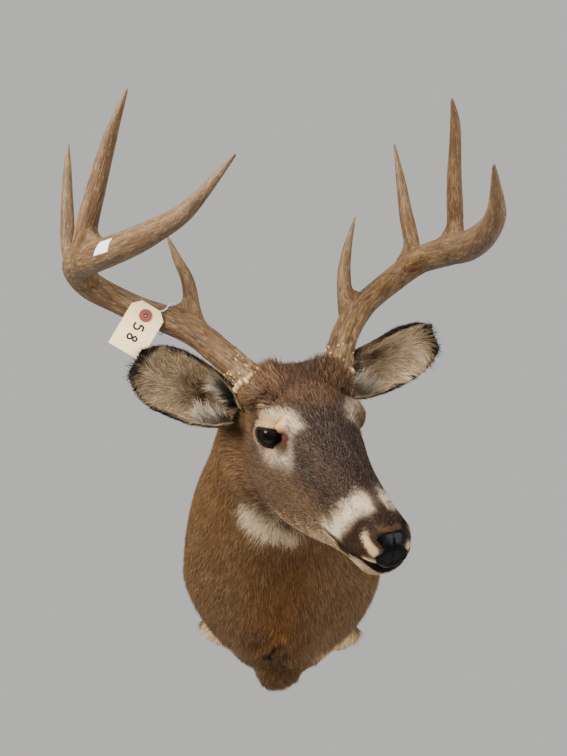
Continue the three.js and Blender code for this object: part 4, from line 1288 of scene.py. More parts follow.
def carries_coat(m):
    """1 where the skin carries coat, 0 inside the lids, on the pad, and in the mouth and nostrils."""
    rim, _, r, _ = eye_place(m)
    coat = np.maximum(np.where(r < 30, ramp(rim, 1.6, 3.0), 1.0), ramp(r, 26, 31))
    slit, _ = line_distance(m, NOSTRIL_SLIT)
    coat *= ramp(slit, 1.4, 2.6)
    over = over_mouth(m)
    coat *= 1 - (m[:, 0] > MOUTH_CORNER_X) * (m[:, 2] > -60) * (1 - ramp(np.abs(over + 0.3), 0.9, 1.9))
    coat *= 1 - on_pad(m)
    return coat


PAD_MIDDLE = np.array([0.0, -1.5])  # of NOSE_PAD's outline


def pad_edge(angle):
    """How far the nose pad's outline lies from its middle, at an angle seen from in front."""
    outline = np.array(NOSE_PAD) - PAD_MIDDLE
    angles = np.arctan2(outline[:, 1], outline[:, 0])
    order = np.argsort(angles)
    return np.interp(angle, angles[order], np.linalg.norm(outline, axis=1)[order])


def on_pad(m):
    out = m[:, 1:3] - PAD_MIDDLE
    edge = pad_edge(np.arctan2(out[:, 1], out[:, 0]))
    return (m[:, 0] > 172) * (1 - ramp(np.linalg.norm(out, axis=1) - edge, -1.2, 0.2))


def kept_off_wall(roots, normal, flow, length, lift):
    """Turns the hair beside the wall along it, and shortens what would still pass it."""
    flow = unit(flow)
    flow[:, 1] *= np.where(flow[:, 1] > 0, ramp(-roots[:, 1], 6, 46), 1)
    along = unit(flow - np.sum(flow * normal, 1, keepdims=True) * normal)
    towards = along[:, 1] * np.cos(lift) + np.maximum(normal[:, 1], 0) * np.sin(lift)
    room = (-1.0 - roots[:, 1]) / np.maximum(towards, 0.02)
    return np.minimum(length, np.maximum(room, 1.0)), flow


def coat_density(points):
    """Tufts per square millimetre, none on bare places, beside the wall or deep in the creases."""
    head = to_head(points)
    m = mirrored(head)
    length, width, _, cover = coat_style(points, head, m)
    density = cover / (0.5 * length * width)
    density *= carries_coat(m) * (points[:, 1] < -4)
    for crease in BRISKET_CREASES:
        density *= 1 - 0.9 * bump(line_distance(points, crease)[0], 0, 3.5)
    return density


def coat_unwrap(head, on_head, share, turn):
    """The roots' places on two unwraps, of the head and of the body, run round their long axes."""
    middle = read_head(head[:, 0])[:, 4]
    head_turn = np.arctan2(head[:, 2] - middle, head[:, 1]) / (2 * np.pi) + 0.5
    on_face = np.stack([head_turn, (head[:, 0] + 115) / 320], 1)
    return np.where(on_head[:, None], on_face, np.stack([turn, share], 1)) * 0.98 + 0.01


def coat_regions(roots, head, on_head, height):
    """Which tufts belong to each piece of the coat."""
    return {
        "coat_muzzle": on_head & (head[:, 0] > 84),
        "coat_face_R": on_head & (head[:, 0] <= 84) & (head[:, 1] < 0),
        "coat_face_L": on_head & (head[:, 0] <= 84) & (head[:, 1] >= 0),
        "coat_throat": ~on_head & (height < 0.5) & (roots[:, 2] > -60),
        "coat_chest": ~on_head & (height < 0.5) & (roots[:, 2] <= -60),
        "coat_neck_R": ~on_head & (height >= 0.5) & (roots[:, 0] < 0),
        "coat_neck_L": ~on_head & (height >= 0.5) & (roots[:, 0] >= 0)}


def add_coat(rng, points, faces, normals):
    """The coat of the head and body, in regions with their own unwraps."""
    roots, normal, *_ = scatter(rng, points, faces, normals, coat_density(points))
    head = to_head(roots)
    m = mirrored(head)
    length, width, lift, _ = coat_style(roots, head, m)
    vary = rng.random((3, len(roots)))
    length = length * (0.72 + 0.5 * vary[0])
    width = width * (0.8 + 0.4 * vary[1])
    lift = lift * (0.45 + 1.25 * vary[2])
    flow = flow_on_skin(roots, head, m) + 0.13 * rng.normal(size=(len(roots), 3))
    length, flow = kept_off_wall(roots, normal, flow, length, lift)
    colour, grizzle = markings(roots, 0.24 * rng.normal(size=len(roots)))
    root_hue, tip_hue = hair_hues(rng, colour, grizzle)
    on_head = head_share(head) > 0.5
    share, height, _, turn = body_place(roots)
    uv = coat_unwrap(head, on_head, share, turn)
    rows = tuft_rows(roots, normal, flow, length, width, lift, root_hue, tip_hue, uv)
    for name, chosen in coat_regions(roots, head, on_head, height).items():
        build_tufts(name, picked(rows, chosen), FUR)


def add_crown_hair(rng, points, faces, normals):
    """Long hair standing round each antler's foot and in a tuft before it."""
    sets = []
    for antler in ANTLERS.values():
        foot, above = from_head(np.array(antler["beam"])[[0, 2], :3])
        axis = unit(above - foot)
        out = points - foot
        off_axis = np.linalg.norm(out - (out @ axis)[:, None] * axis, axis=1)
        middle_side = np.abs(to_head(points)[:, 1]) < 54
        near = ramp(off_axis, 15, 19) * (1 - ramp(off_axis, 26, 38)) * (np.abs(out @ axis) < 34)
        density = 0.95 * near * (0.08 + 0.92 * middle_side)
        roots, normal, *_ = scatter(rng, points, faces, normals, density)
        count = len(roots)
        head = to_head(roots)
        colour, grizzle = markings(roots, 0.2 * rng.normal(size=count))
        root_hue, tip_hue = hair_hues(rng, colour, grizzle * 0.6)
        away = roots - foot - ((roots - foot) @ axis)[:, None] * axis
        flow = axis + 0.35 * unit(away) + 0.28 * rng.normal(size=(count, 3))
        front = ramp(head[:, 0], -84, -60) * (1 - ramp(np.abs(head[:, 1]), 44, 60))
        length = (9 + 10 * front) * (0.7 + 0.5 * rng.random(count))
        uv = np.stack([(head[:, 1] + 100) / 200, (head[:, 0] + 120) / 320], 1)
        width = 0.9 + 0.3 * rng.random(count)
        lift = np.radians(38 + 26 * rng.random(count))
        sag = np.radians(10 + 34 * rng.random(count))
        sets.append(tuft_rows(roots, normal, flow, length, width, lift, root_hue, tip_hue, uv, 0.6, sag))
    rows = {key: np.concatenate([tufts[key] for tufts in sets]) for key in sets[0]}
    build_tufts("coat_crown", rows, LONG_FUR, True)


# ---------------------------------------------------------------- ears
read_ear_width = smooth_table(EAR_WIDTH)
read_ear_wrap = smooth_table(EAR_WRAP)
EAR_SKIN = 2.2  # thickness of the ear's skin under its coat
EAR_ROWS, EAR_COLUMNS = 70, 56


def ear_frame(ear):
    """Where an ear starts, its length, and its directions along, across and out of the open side."""
    start, end = from_head(ear["root"]), from_head(ear["tip"])
    along = unit(end - start)
    facing = np.asarray(ear["faces"], float) @ HEAD_AXES
    facing = unit(facing - facing @ along * along)
    return start, np.linalg.norm(end - start), along, np.cross(along, facing), facing


def ear_points(ear, u, v, out):
    """Places on an ear: u from root to tip, v across from -1 to 1, out from the middle of its wall."""
    start, length, along, across, facing = ear_frame(ear)
    half_angle = np.radians(read_ear_wrap(u)[:, 1])
    radius = EAR_HALF_WIDTH * read_ear_width(u)[:, 1] / np.sin(np.minimum(half_angle, np.pi / 2))
    angle = half_angle * v
    reach = radius + out
    return (start + (u * length)[:, None] * along + (reach * np.sin(angle))[:, None] * across
            + (radius * np.cos(half_angle) - reach * np.cos(angle))[:, None] * facing)


def make_ear(ear, seed):
    """The ear's shell, ragged towards the rim: points, triangles, u, v, and 1 on its inner face."""
    u, v = np.meshgrid(np.linspace(0, 1, EAR_ROWS), np.linspace(-1, 1, EAR_COLUMNS), indexing="ij")
    u, v = u.ravel(), v.ravel()
    ragged = 0.010 * np.sin(23 * v + seed) + 0.008 * np.sin(51 * v + 2 * seed)
    rim = 0.022 * np.sin(17 * u + seed) + 0.015 * np.sin(39 * u)
    reach_u = u * (0.978 + ragged * u**3)
    reach_v = v * (0.965 + rim * np.abs(v) ** 3)
    ridges = 1.3 * np.exp(-((u - 0.35) / 0.28) ** 2) * np.sin(np.abs(v) * 9.5 + 0.6) * (1 - v**2)
    bowl = wobble(np.stack([u * 90, v * 40, u * 0 + seed * 50], 1), 16, 4) * 1.1
    back = ear_points(ear, reach_u, reach_v, EAR_SKIN / 2 + 0.3 * bowl)
    front = ear_points(ear, reach_u, reach_v, -EAR_SKIN / 2 + ridges * 0.8 - 0.4 * bowl)
    points = np.concatenate([back, front])
    points, faces = outward(points, sheet_faces(EAR_ROWS, EAR_COLUMNS))
    return points, faces, np.tile(u, 2), np.tile(v, 2), np.repeat([0.0, 1.0], len(u))


# the hollow's colour is dark skin with painted shade
EAR_PALE, EAR_DEEP_SKIN_AND_SHADE = (0.47, 0.33, 0.185), (0.060, 0.026, 0.009)
EAR_BACK, EAR_RIM = (0.105, 0.058, 0.028), (0.014, 0.008, 0.005)


def ear_colours(ear, points, u, v, inside):
    """Pale inside under painted shade, a hollow of dark skin and painted shade, grey-brown behind, almost
    black at the rim.
    """
    ragged = 0.05 * wobble(points, 6, 12)
    to_rim = np.maximum(np.abs(v), u * 0.98) + ragged
    # painted shade with dark skin: the root and the hollow deep in the ear's cup
    deep = np.exp(-(((u - 0.10) / 0.16) ** 2) - ((v / 0.7) ** 2)) * ear["root_shade"]
    along, across, reach = ear["hollow"]
    deep = np.maximum(deep, 0.9 * np.exp(-(((u - along) / reach) ** 2) - (((v - across) / 0.34) ** 2)))
    deep = np.clip(deep * (1 + 0.7 * wobble(points, 7, 13)), 0, 1)
    # the ear's shade value dims the pale hair as painted shade
    pale = np.asarray(EAR_PALE) * ear["shade"] * (1 + 0.35 * wobble(points, 9, 14))[:, None]
    within = mixed(pale, EAR_DEEP_SKIN_AND_SHADE, deep)
    behind = np.asarray(EAR_BACK) * (1 + 0.2 * wobble(points, 8, 15))[:, None]
    colour = np.where(inside[:, None] > 0.5, within, behind)
    return mixed(colour, EAR_RIM, ramp(to_rim, 0.86, 0.95) * ramp(u, 0.20, 0.60))


def ear_uv(u, v, start):
    """Places on the ear's unwrap, whose faces start at their own shares across."""
    return np.stack([(v + 1) / 4.2 + start, u * 0.96 + 0.02], 1)


def add_ear(rng, side, ear):
    """One ear: its shell, short hair behind and longer hair inside, and the fringe of its rim."""
    points, faces, u, v, inside = make_ear(ear, 1.7 if side == "R" else 4.1)
    colours = ear_colours(ear, points, u, v, inside)
    add_piece(f"ear_skin_{side}", points, faces, SKIN, "ear_coat", [f"ear_{side}"], colours * 0.8)
    normals = vertex_normals(points, faces)
    _, _, along, across, _ = ear_frame(ear)
    density = np.where((inside > 0.5) & (np.abs(v) < 0.93), 0.30, 0.62)
    roots, normal, index, weights = scatter(rng, points, faces, normals, density)
    ru, rv, ri = (carried(value, faces, index, weights) for value in (u, v, inside))
    colour = ear_colours(ear, roots, ru, rv, ri)
    inner = (ri > 0.5) & (np.abs(rv) < 0.93)
    swirl = np.stack([wobble(roots, 15, 20 + k) for k in range(3)], 1)
    flow = along * (0.75 - 0.3 * inner[:, None]) + across * (rv * (0.5 + 0.7 * inner))[:, None]
    flow = flow + 0.35 * swirl + 0.12 * rng.normal(size=roots.shape)
    uv = ear_uv(ru, rv, np.where(ri > 0.5, 0.5, 0.01))
    count = len(roots)
    length = np.where(inner, 11 + 6 * rng.random(count), 5.5 + 3 * rng.random(count))
    width = np.where(inner, 0.75, 0.7) * (0.8 + 0.4 * rng.random(count))
    lift = np.radians(np.where(inner, 12, 13) + 8 * rng.random(count))
    root_hue, tip_hue = hair_hues(rng, colour, np.where(inner, 0.25, 0.5), 0.6)
    sag = np.radians(22 * rng.random(count))
    rows = tuft_rows(roots, normal, flow, length, width, lift, root_hue, tip_hue, uv, 0.2, sag)
    build_tufts(f"coat_ear_{side}_inside", picked(rows, inner), LONG_FUR, True)
    build_tufts(f"coat_ear_{side}_back", picked(rows, ~inner), FUR)
    add_ear_fringe(rng, side, ear, along)
    add_ear_plume(rng, side, ear, along, across)


def add_ear_fringe(rng, side, ear, along, count=2600):
    """Dark ragged hairs round the rim."""
    place = rng.random(count)
    u = np.clip(1 - np.abs(2 * place - 1), 0, 1) ** 0.8 * 0.78 + 0.2
    v = np.where(place < 0.5, -1.0, 1.0)
    top = rng.random(count) < 0.22
    v = np.where(top, 2 * rng.random(count) - 1, v) * 0.955
    u = np.where(top, 0.975, u)
    roots = ear_points(ear, u, v, np.zeros(count))
    inwards = ear_points(ear, u * 0.97, v * 0.9, np.zeros(count))
    out = unit(roots - inwards) + 0.25 * along
    normal = unit(ear_points(ear, u, v, np.full(count, 1.0)) - roots)
    dark = mixed(np.asarray(EAR_BACK), EAR_RIM, ramp(u, 0.3, 0.65))
    rows = tuft_rows(roots, normal, out + 0.3 * rng.normal(size=(count, 3)), 2.5 + 4 * rng.random(count),
                     0.75 + 0.3 * rng.random(count), np.radians(-14 + 28 * rng.random(count)), dark * 0.8,
                     dark * (0.7 + 0.9 * rng.random((count, 1))), ear_uv(u, v, 0.01), 0.0)
    build_tufts(f"coat_ear_{side}_rim", rows, FUR)


def add_ear_plume(rng, side, ear, along, across, count=1000):
    """Long white hairs rising from the edges of the ear's root."""
    u = 0.02 + 0.26 * rng.random(count)
    edge = np.where(rng.random(count) < 0.7, 1.0, -1.0)
    v = edge * (0.94 - 0.6 * rng.random(count) ** 1.6)
    roots = ear_points(ear, u, v, np.full(count, -EAR_SKIN / 2))
    normal = unit(roots - ear_points(ear, u, v, np.full(count, EAR_SKIN / 2)))
    white = np.tile([0.72, 0.60, 0.45], (count, 1)) * (0.35 + 0.75 * rng.random((count, 1)))
    flow = along * 0.9 - across * (edge * 0.75)[:, None] + 0.25 * rng.normal(size=(count, 3))
    rows = tuft_rows(roots, normal, flow, 16 + 12 * rng.random(count), 0.8 + 0.3 * rng.random(count),
                     np.radians(20 + 22 * rng.random(count)), white * 0.6, white, ear_uv(u, v, 0.5), 0.2,
                     np.radians(38 * rng.random(count)))
    build_tufts(f"coat_ear_{side}_long", rows, LONG_FUR, True)


# ---------------------------------------------------------------- antlers
def curve_points(points, t):
    """Centripetal Catmull-Rom curve through the points, t from 0 to 1 evenly over them."""
    p = np.asarray(points, float)
    p = np.concatenate([(2 * p[0] - p[1])[None], p, (2 * p[-1] - p[-2])[None]])
    place = np.clip(t, 0, 1) * (len(p) - 3)
    k = np.minimum(place.astype(int), len(p) - 4)
    w = (place - k)[:, None]
    p0, p1, p2, p3 = p[k], p[k + 1], p[k + 2], p[k + 3]
    d0, d1, d2 = (np.maximum(np.linalg.norm(b - a, axis=1) ** 0.5, 1e-6)[:, None]
                  for a, b in ((p0, p1), (p1, p2), (p2, p3)))
    t1 = ((p1 - p0) / d0 - (p2 - p0) / (d0 + d1) + (p2 - p1) / d1) * d1
    t2 = ((p2 - p1) / d1 - (p3 - p1) / (d1 + d2) + (p3 - p2) / d2) * d1
    return p1 + t1 * w + (-3 * p1 + 3 * p2 - 2 * t1 - t2) * w**2 + (2 * p1 - 2 * p2 + t1 + t2) * w**3


STEM_STEP = 2.0


def stem(rows):
    """A branch's centre line, run of length, radii and frame, at even steps."""
    rows = np.asarray(rows, float)
    centres = from_head(rows[:, :3])
    fine = np.linspace(0, 1, 1200)
    line = curve_points(centres, fine)
    run = np.concatenate([[0], np.cumsum(np.linalg.norm(np.diff(line, axis=0), axis=1))])
    even = np.interp(np.arange(0, run[-1], STEM_STEP), run, fine)
    line = curve_points(centres, even)
    run = np.interp(even, fine, run)
    radius = np.interp(even * (len(rows) - 1), np.arange(len(rows)), rows[:, 3])
    tangent = unit(np.gradient(line, axis=0))
    across = []
    hold = np.array([0.0, 0.0, 1.0])
    for direction in tangent:
        hold = unit(hold - hold @ direction * direction)
        across.append(hold)
    across = np.array(across)
    return {"line": line, "run": run, "radius": radius, "across": across, "other": np.cross(tangent, across)}


def stem_shape(branch, burr):
    flare = BURR["flare"] * bump(branch["run"], BURR["at"], BURR["reach"]) if burr else 0
    radius = (branch["radius"] + flare)[:, None, None]
    ring = ring_round(branch["across"][:, None], branch["other"][:, None], 36)
    return closed_tube(branch["line"][:, None] + ring * radius)


WEB_RADIUS = 8.3


def fork_webs(beam, tine):
    """Two struts that fill the corners between a tine and the beam, before the fork is smoothed."""
    foot = int(np.linalg.norm(beam["line"] - tine["line"][11], axis=1).argmin())
    up = tine["line"][int((beam["radius"][foot] + 23) / STEM_STEP)]
    reach = int((tine["radius"][11] + 17) / STEM_STEP)
    struts = []
    for place in (foot - reach, foot + reach):
        low = beam["line"][min(max(place, 0), len(beam["line"]) - 1)]
        along = unit(up - low)
        across = unit(np.cross(along, [0.3, 0.2, 0.9]))
        line = low + (up - low) * np.linspace(0, 1, 14)[:, None]
        ring = ring_round(across, np.cross(along, across), 24)
        struts.append(closed_tube(line[:, None] + ring[None] * WEB_RADIUS))
    return struts


def nearest_stem(points, branches):
    """Each point's place along and round its nearest branch, whether it is the beam, and share up it."""
    line = np.concatenate([b["line"] for b in branches])
    radius = np.concatenate([b["radius"] for b in branches])
    best = np.empty(len(points), int)
    for start in range(0, len(points), 4000):
        chunk = points[start:start + 4000]
        gap = np.linalg.norm(chunk[:, None] - line[None], axis=2) - radius[None]
        best[start:start + 4000] = gap.argmin(1)
    run = np.concatenate([b["run"] for b in branches])[best]
    across = np.concatenate([b["across"] for b in branches])[best]
    other = np.concatenate([b["other"] for b in branches])[best]
    out = points - line[best]
    beam = best < len(branches[0]["line"])
    top = np.concatenate([np.full(len(b["line"]), b["run"][-1]) for b in branches])[best]
    grain = np.stack([run, np.sum(out * across, 1), np.sum(out * other, 1)], 1)
    return grain, beam, run / top


ANTLER_TAN = (0.142, 0.074, 0.027)
ANTLER_DARK = (0.050, 0.022, 0.008)
ANTLER_PALE = (0.29, 0.175, 0.075)
ANTLER_TIP = (0.40, 0.30, 0.19)
BEAD_CREAM = (0.56, 0.39, 0.20)
BEAD_SIZE = np.array([2.7, 2.3, 3.9])  # half sizes out of the beam, round it and along it


TINES = ("brow_tine", "second_tine", "third_tine")


def antler_surface(branches, rows):
    """Beam and tines as one surface, smoothed at the forks."""
    shapes = [stem_shape(b, k == 0) for k, b in enumerate(branches)]
    for tine in branches[1:]:
        shapes += fork_webs(branches[0], tine)
    mesh = voxel_union(shapes, ANTLER_VOXEL)
    edges = mesh_edges(mesh)
    points = relaxed(mesh_points(mesh), edges, 3)
    forks = np.zeros(len(points))
    for name in TINES:
        crotch = from_head(np.array(rows[name])[1, :3])
        forks = np.maximum(forks, np.exp(-((np.linalg.norm(points - crotch, axis=1) / 25) ** 2)))
    points = relaxed(points, edges, 45, forks)
    faces = mesh_triangles(mesh)
    bpy.data.meshes.remove(mesh)
    return points, faces


def antler_relief(grain, beam, rugged, seed):
    """The parts of the relief: furrows, low swells, pearls near the foot and the burr's ring of beads."""
    stretched = grain * [0.14, 1, 1]
    channels = wobble(stretched, 6.0, seed) + 0.35 * wobble(stretched, 3.0, seed + 1)
    low = beam * np.exp(-np.clip(grain[:, 0] - 22, 0, None) / 46)
    ring = bump(grain[:, 0], BURR["at"] + 2, 5.0) * beam
    turn = np.arctan2(grain[:, 2], grain[:, 1])
    beads = np.abs(np.sin(turn * 8.5 + 1.2 * wobble(grain, 12, seed + 4))) ** 0.7
    return {
        "rugged": rugged,
        "groove": np.exp(-((channels / 0.17) ** 2)),
        "swell": wobble(grain * [0.3, 1, 1], 11, seed + 2),
        "low": low,
        "knobs": np.clip(wobble(grain * [0.8, 1, 1], 4.6, seed + 3) - 0.18, 0, None) * low,
        "ring": ring,
        "beads": ring * (beads - 0.45 + 0.5 * wobble(grain, 3.6, seed + 5))}


def antler_tone(side, grain, share, parts, downward, seed):
    """Tan with dark stains, paler towards the tips and on what stands up, dark in the furrows, with painted
    shade on the undersides.
    """
    tone = np.tile(ANTLER_TAN, (len(grain), 1)).astype(float)
    if side == "L":
        tone = tone * (1 - 0.12 * np.array([0.85, 1, 1.25]) * (1 - ramp(share, 0.2, 0.75))[:, None])
    stains = np.clip(0.10 + 0.30 * wobble(grain * [0.2, 1, 1], 15, seed + 6), 0, 0.45)
    bleached = ramp(share, 0.35, 0.95) * (0.20 if side == "R" else 0.12)
    patchy = np.clip(0.75 + 0.5 * wobble(grain * [0.15, 1, 1], 14, seed + 9), 0, 1)
    pits = wobble(grain, 4.0, seed + 7) < 0.1
    rugged, beads = parts["rugged"], parts["beads"]
    for hue, weight in (
            (ANTLER_DARK, stains), (ANTLER_TIP, bleached * patchy),
            (ANTLER_PALE, ramp(parts["swell"], 0.15, 0.75) * 0.35 * rugged),
            # painted shade: the more a place faces down, the darker it is
            (ANTLER_DARK, ramp(downward, -0.1, 0.8) * 0.35),
            (ANTLER_DARK, np.clip(parts["low"], 0, 1) * 0.45 * pits),
            (ANTLER_DARK, parts["groove"] * (0.35 + 0.45 * rugged)),
            (ANTLER_PALE, np.clip(parts["knobs"] * 1.4 + np.clip(beads, 0, 1), 0, 0.8)),
            (ANTLER_DARK, parts["ring"] * np.clip(0.25 - beads, 0, 1))):
        tone = mixed(tone, hue, weight)
    return tone


def add_antler(side, rows):
    """The rack's one side: beam and three tines as one surface, with pearls, grooves and a beaded burr."""
    branches = [stem(rows[name]) for name in ("beam", *TINES)]
    points, faces = antler_surface(branches, rows)
    grain, beam, share = nearest_stem(points, branches)
    seed = 31 if side == "R" else 47
    rugged = np.where(beam, 1 - 0.75 * ramp(share, 0.25, 0.9), 0.55 - 0.4 * ramp(share, 0.2, 0.8))
    parts = antler_relief(grain, beam, rugged, seed)
    relief = (-0.75 * parts["groove"] * rugged + 0.55 * parts["swell"] * rugged + 3.4 * parts["knobs"]
              + 3.0 * parts["beads"])
    normals = vertex_normals(points, faces)
    points = points + normals * relief[:, None]
    tone = antler_tone(side, grain, share, parts, -normals[:, 2], seed)
    nodes = [f"antler_{side}_{part}" for part in ("base", "middle", "beam_end", *TINES)]
    add_piece(f"antler_{side}", points, faces, ANTLER, "antler", nodes, tone, grain)
    add_burr_beads(side, branches[0], seed)
    return points, faces


def bead(at, out, along, sizes):
    """One pearl of bone: a closed ellipsoid with its long way along the beam."""
    turns = circle(10)
    side = np.cross(out, along)
    ring = np.cos(turns)[:, None] * out * sizes[0] + np.sin(turns)[:, None] * side * sizes[1]
    return closed_tube([at + math.sin(level) * along * sizes[2] + math.cos(level) * ring
                        for level in np.radians(np.linspace(-80, 80, 9))])


def add_burr_beads(side, beam, seed):
    """The ring of pearls at the burr, and smaller ones scattered over the foot of the beam above it."""
    rng = np.random.default_rng(seed)
    ring = [(BURR["at"] + 0.8 * rng.normal(), k / 26 + 0.01 * rng.normal(), 1.0) for k in range(26)]
    loose = [(BURR["at"] + 5 + 22 * rng.random() ** 1.6, rng.random(), 0.42) for _ in range(60)]
    beads, tones = [], []
    for run, turn, scale in ring + loose:
        place = np.argmin(np.abs(beam["run"] - run))
        across, other = beam["across"][place], beam["other"][place]
        out = across * math.cos(turn * 2 * math.pi) + other * math.sin(turn * 2 * math.pi)
        along = np.cross(across, other)
        reach = beam["radius"][place] + (BURR["flare"] if scale == 1.0 else -0.2)
        sizes = scale * (0.8 + 0.4 * rng.random()) * BEAD_SIZE
        at = beam["line"][place] + along * (run - beam["run"][place]) + out * reach
        beads.append(bead(at, out, along, sizes))
        tones.append(np.tile(np.array(BEAD_CREAM) * (0.6 + 0.5 * rng.random()), (len(beads[-1][0]), 1)))
    points, faces = joined(beads)
    add_piece(f"antler_{side}_beads", points, faces, BEAD_BONE, "antler", [], np.concatenate(tones))


# ---------------------------------------------------------------- eyes, lids, nose
def eye_direction(along, above):
    """Unit directions in mirrored head places at angles from the middle of the eye's opening."""
    along, above = np.radians(along), np.radians(above)
    return (np.cos(above)[:, None] * (np.cos(along)[:, None] * EYE_OUT + np.sin(along)[:, None] * EYE_FRONT)
            + np.sin(above)[:, None] * EYE_UP)


def to_side(points, side):
    """Mirrored head places put on the named side and into the frame."""
    out = np.array(points, float)
    if side == "R":
        out[:, 1] *= -1
    return from_head(out)


PUPIL = (0.001, 0.001, 0.001)
IRIS = (0.0075, 0.0036, 0.0022)
IRIS_EDGE = (0.002, 0.0015, 0.0015)


def add_eye(side):
    """Glass eye with its swelling front and long pupil, the black rim of the lids and the lashes."""
    rings, around = 40, 64
    spread = np.repeat(np.linspace(0.02, 1, rings), around)
    turn = np.tile(circle(around), rings)
    angle = spread * np.pi * 0.995
    direction = (np.cos(angle)[:, None] * EYE_OUT + (np.sin(angle) * np.cos(turn))[:, None] * EYE_FRONT
                 + (np.sin(angle) * np.sin(turn))[:, None] * EYE_UP)
    front = EYE["radius"] - 0.35 + 0.55 * np.exp(-((np.degrees(angle) / 34) ** 4))
    points = EYE["at"] + direction * front[:, None]
    shape = closed_tube(to_side(points, side).reshape(rings, around, 3))
    flat_along, flat_above = np.degrees(angle) * np.cos(turn), np.degrees(angle) * np.sin(turn)
    pupil = 1 - ramp(np.hypot(flat_along / 24, flat_above / 11), 0.9, 1.15)
    iris = 1 - ramp(np.degrees(angle), 40, 50)
    hue = mixed(mixed(np.asarray(IRIS_EDGE), IRIS, iris), PUPIL, pupil)
    hue = np.concatenate([hue, [PUPIL, IRIS_EDGE]])
    add_piece(f"eye_{side}_glass", *shape, EYE_GLASS, "eye", [f"eye_{side}"], hue)
    add_lid_rim(side)
    add_lashes(side)


def add_lid_rim(side):
    """The black moist edge of the lids: a closed cord round the eye's opening."""
    direction = eye_direction(*lid_outline(44).T)
    centre = EYE["at"] + direction * (EYE["radius"] + 0.55)
    tangent = unit(np.roll(centre, -1, axis=0) - np.roll(centre, 1, axis=0))
    over = np.cross(tangent, direction)
    count, around = len(centre), 10
    ring = ring_round(direction[:, None], over[:, None] * 1.25, around)
    points = to_side((centre[:, None] + ring).reshape(-1, 3), side)
    grid = np.arange(count * around).reshape(count, around)
    a, b = grid.ravel(), np.roll(grid, -1, 1).ravel()
    c, d = np.roll(grid, -1, 0).ravel(), np.roll(grid, (-1, -1), (0, 1)).ravel()
    faces = np.concatenate([np.stack([a, b, d], 1), np.stack([a, d, c], 1)])
    add_piece(f"lid_rim_{side}", *outward(points, faces), WET_RIM, "nose")


def add_lashes(side, count=70):
    """The short black lashes of the upper lid."""
    rng = np.random.default_rng(71)
    q = np.linspace(-0.72, 0.80, count) + 0.01 * rng.normal(size=count)
    upper, _ = lid_angles(q)
    out = eye_direction(q * lid_half(q), upper)
    tips = eye_direction(q * lid_half(q) * 1.15, upper - 6)
    roots = EYE["at"] + out * (EYE["radius"] + 1.2)
    points = to_side(roots, side)
    normal = unit(to_side(roots + out, side) - points)
    flow = to_side(roots + tips + np.cross(out, EYE_FRONT) * -0.3, side) - points
    hue = np.tile([0.006, 0.005, 0.004], (count, 1))
    uv = np.stack([np.linspace(0.1, 0.9, count), np.full(count, 0.5)], 1)
    rows = tuft_rows(points, normal, flow + 0.15 * rng.normal(size=(count, 3)), 5.5 + 3.5 * rng.random(count),
                     np.full(count, 0.42), np.radians(58 + 14 * rng.random(count)), hue, hue, uv, 0.4,
                     np.radians(20 + 20 * rng.random(count)))
    build_tufts(f"lashes_{side}", rows, LONG_FUR, True)


def pad_ring(count):
    """The nose pad's outline seen from in front, evenly stepped and rounded."""
    half = np.array(NOSE_PAD)
    outline = np.concatenate([half, (half * [-1, 1])[-2:0:-1]])
    closed = np.concatenate([outline, outline[:1]])
    run = np.concatenate([[0], np.cumsum(np.linalg.norm(np.diff(closed, axis=0), axis=1))])
    even = np.linspace(0, run[-1], count + 1)[:-1]
    ring = np.stack([np.interp(even, run, closed[:, k]) for k in range(2)], 1)
    for _ in range(2):
        ring = 0.5 * ring + 0.25 * (np.roll(ring, 1, 0) + np.roll(ring, -1, 0))
    return ring


# sizes of the nose pad's rings, as shares of its outline
PAD_SHARES = np.array([0.04, 0.12, 0.22, 0.32, 0.42, 0.52, 0.62, 0.72, 0.80, 0.87, 0.92, 0.96, 1.0])


def add_nose_pad(points, faces):
    """The moist pad, laid over the skin's own front and standing a little proud of it."""
    tree = BVHTree.FromPolygons([tuple(p) for p in to_head(points)], faces.tolist())
    ring = pad_ring(160)
    flat = (PAD_MIDDLE + PAD_SHARES[:, None, None] * (ring - PAD_MIDDLE)[None]).reshape(-1, 2)
    backwards = Vector((-1, 0, 0))
    hits = [tree.ray_cast(Vector((230.0, *place)), backwards)[0] or (186.0, *place) for place in flat]
    grid = np.array(hits).reshape(len(PAD_SHARES), len(ring), 3)
    out = unit(np.cross(np.gradient(grid, axis=1), np.gradient(grid, axis=0)))
    out *= np.where(out[..., :1].mean() < 0, -1, 1)
    edge = ramp(1 - PAD_SHARES, 0.0, 0.09)[:, None, None]
    front = grid + out * (1.1 * edge - 0.7 * (1 - edge))
    middle_line = 0.7 * np.exp(-((grid[..., 1] / 1.1) ** 2)) * (grid[..., 2] < 8)
    front[..., 0] -= middle_line
    back = grid[-1:] - out[-1:] * 2.2
    centre_back = grid[0:1] - [4.0, 0, 0]
    rings = from_head(np.concatenate([front, back, centre_back]).reshape(-1, 3)).reshape(-1, len(ring), 3)
    add_piece("nose_leather", *closed_tube(rings), NOSE, "nose", ["nose_pad"])


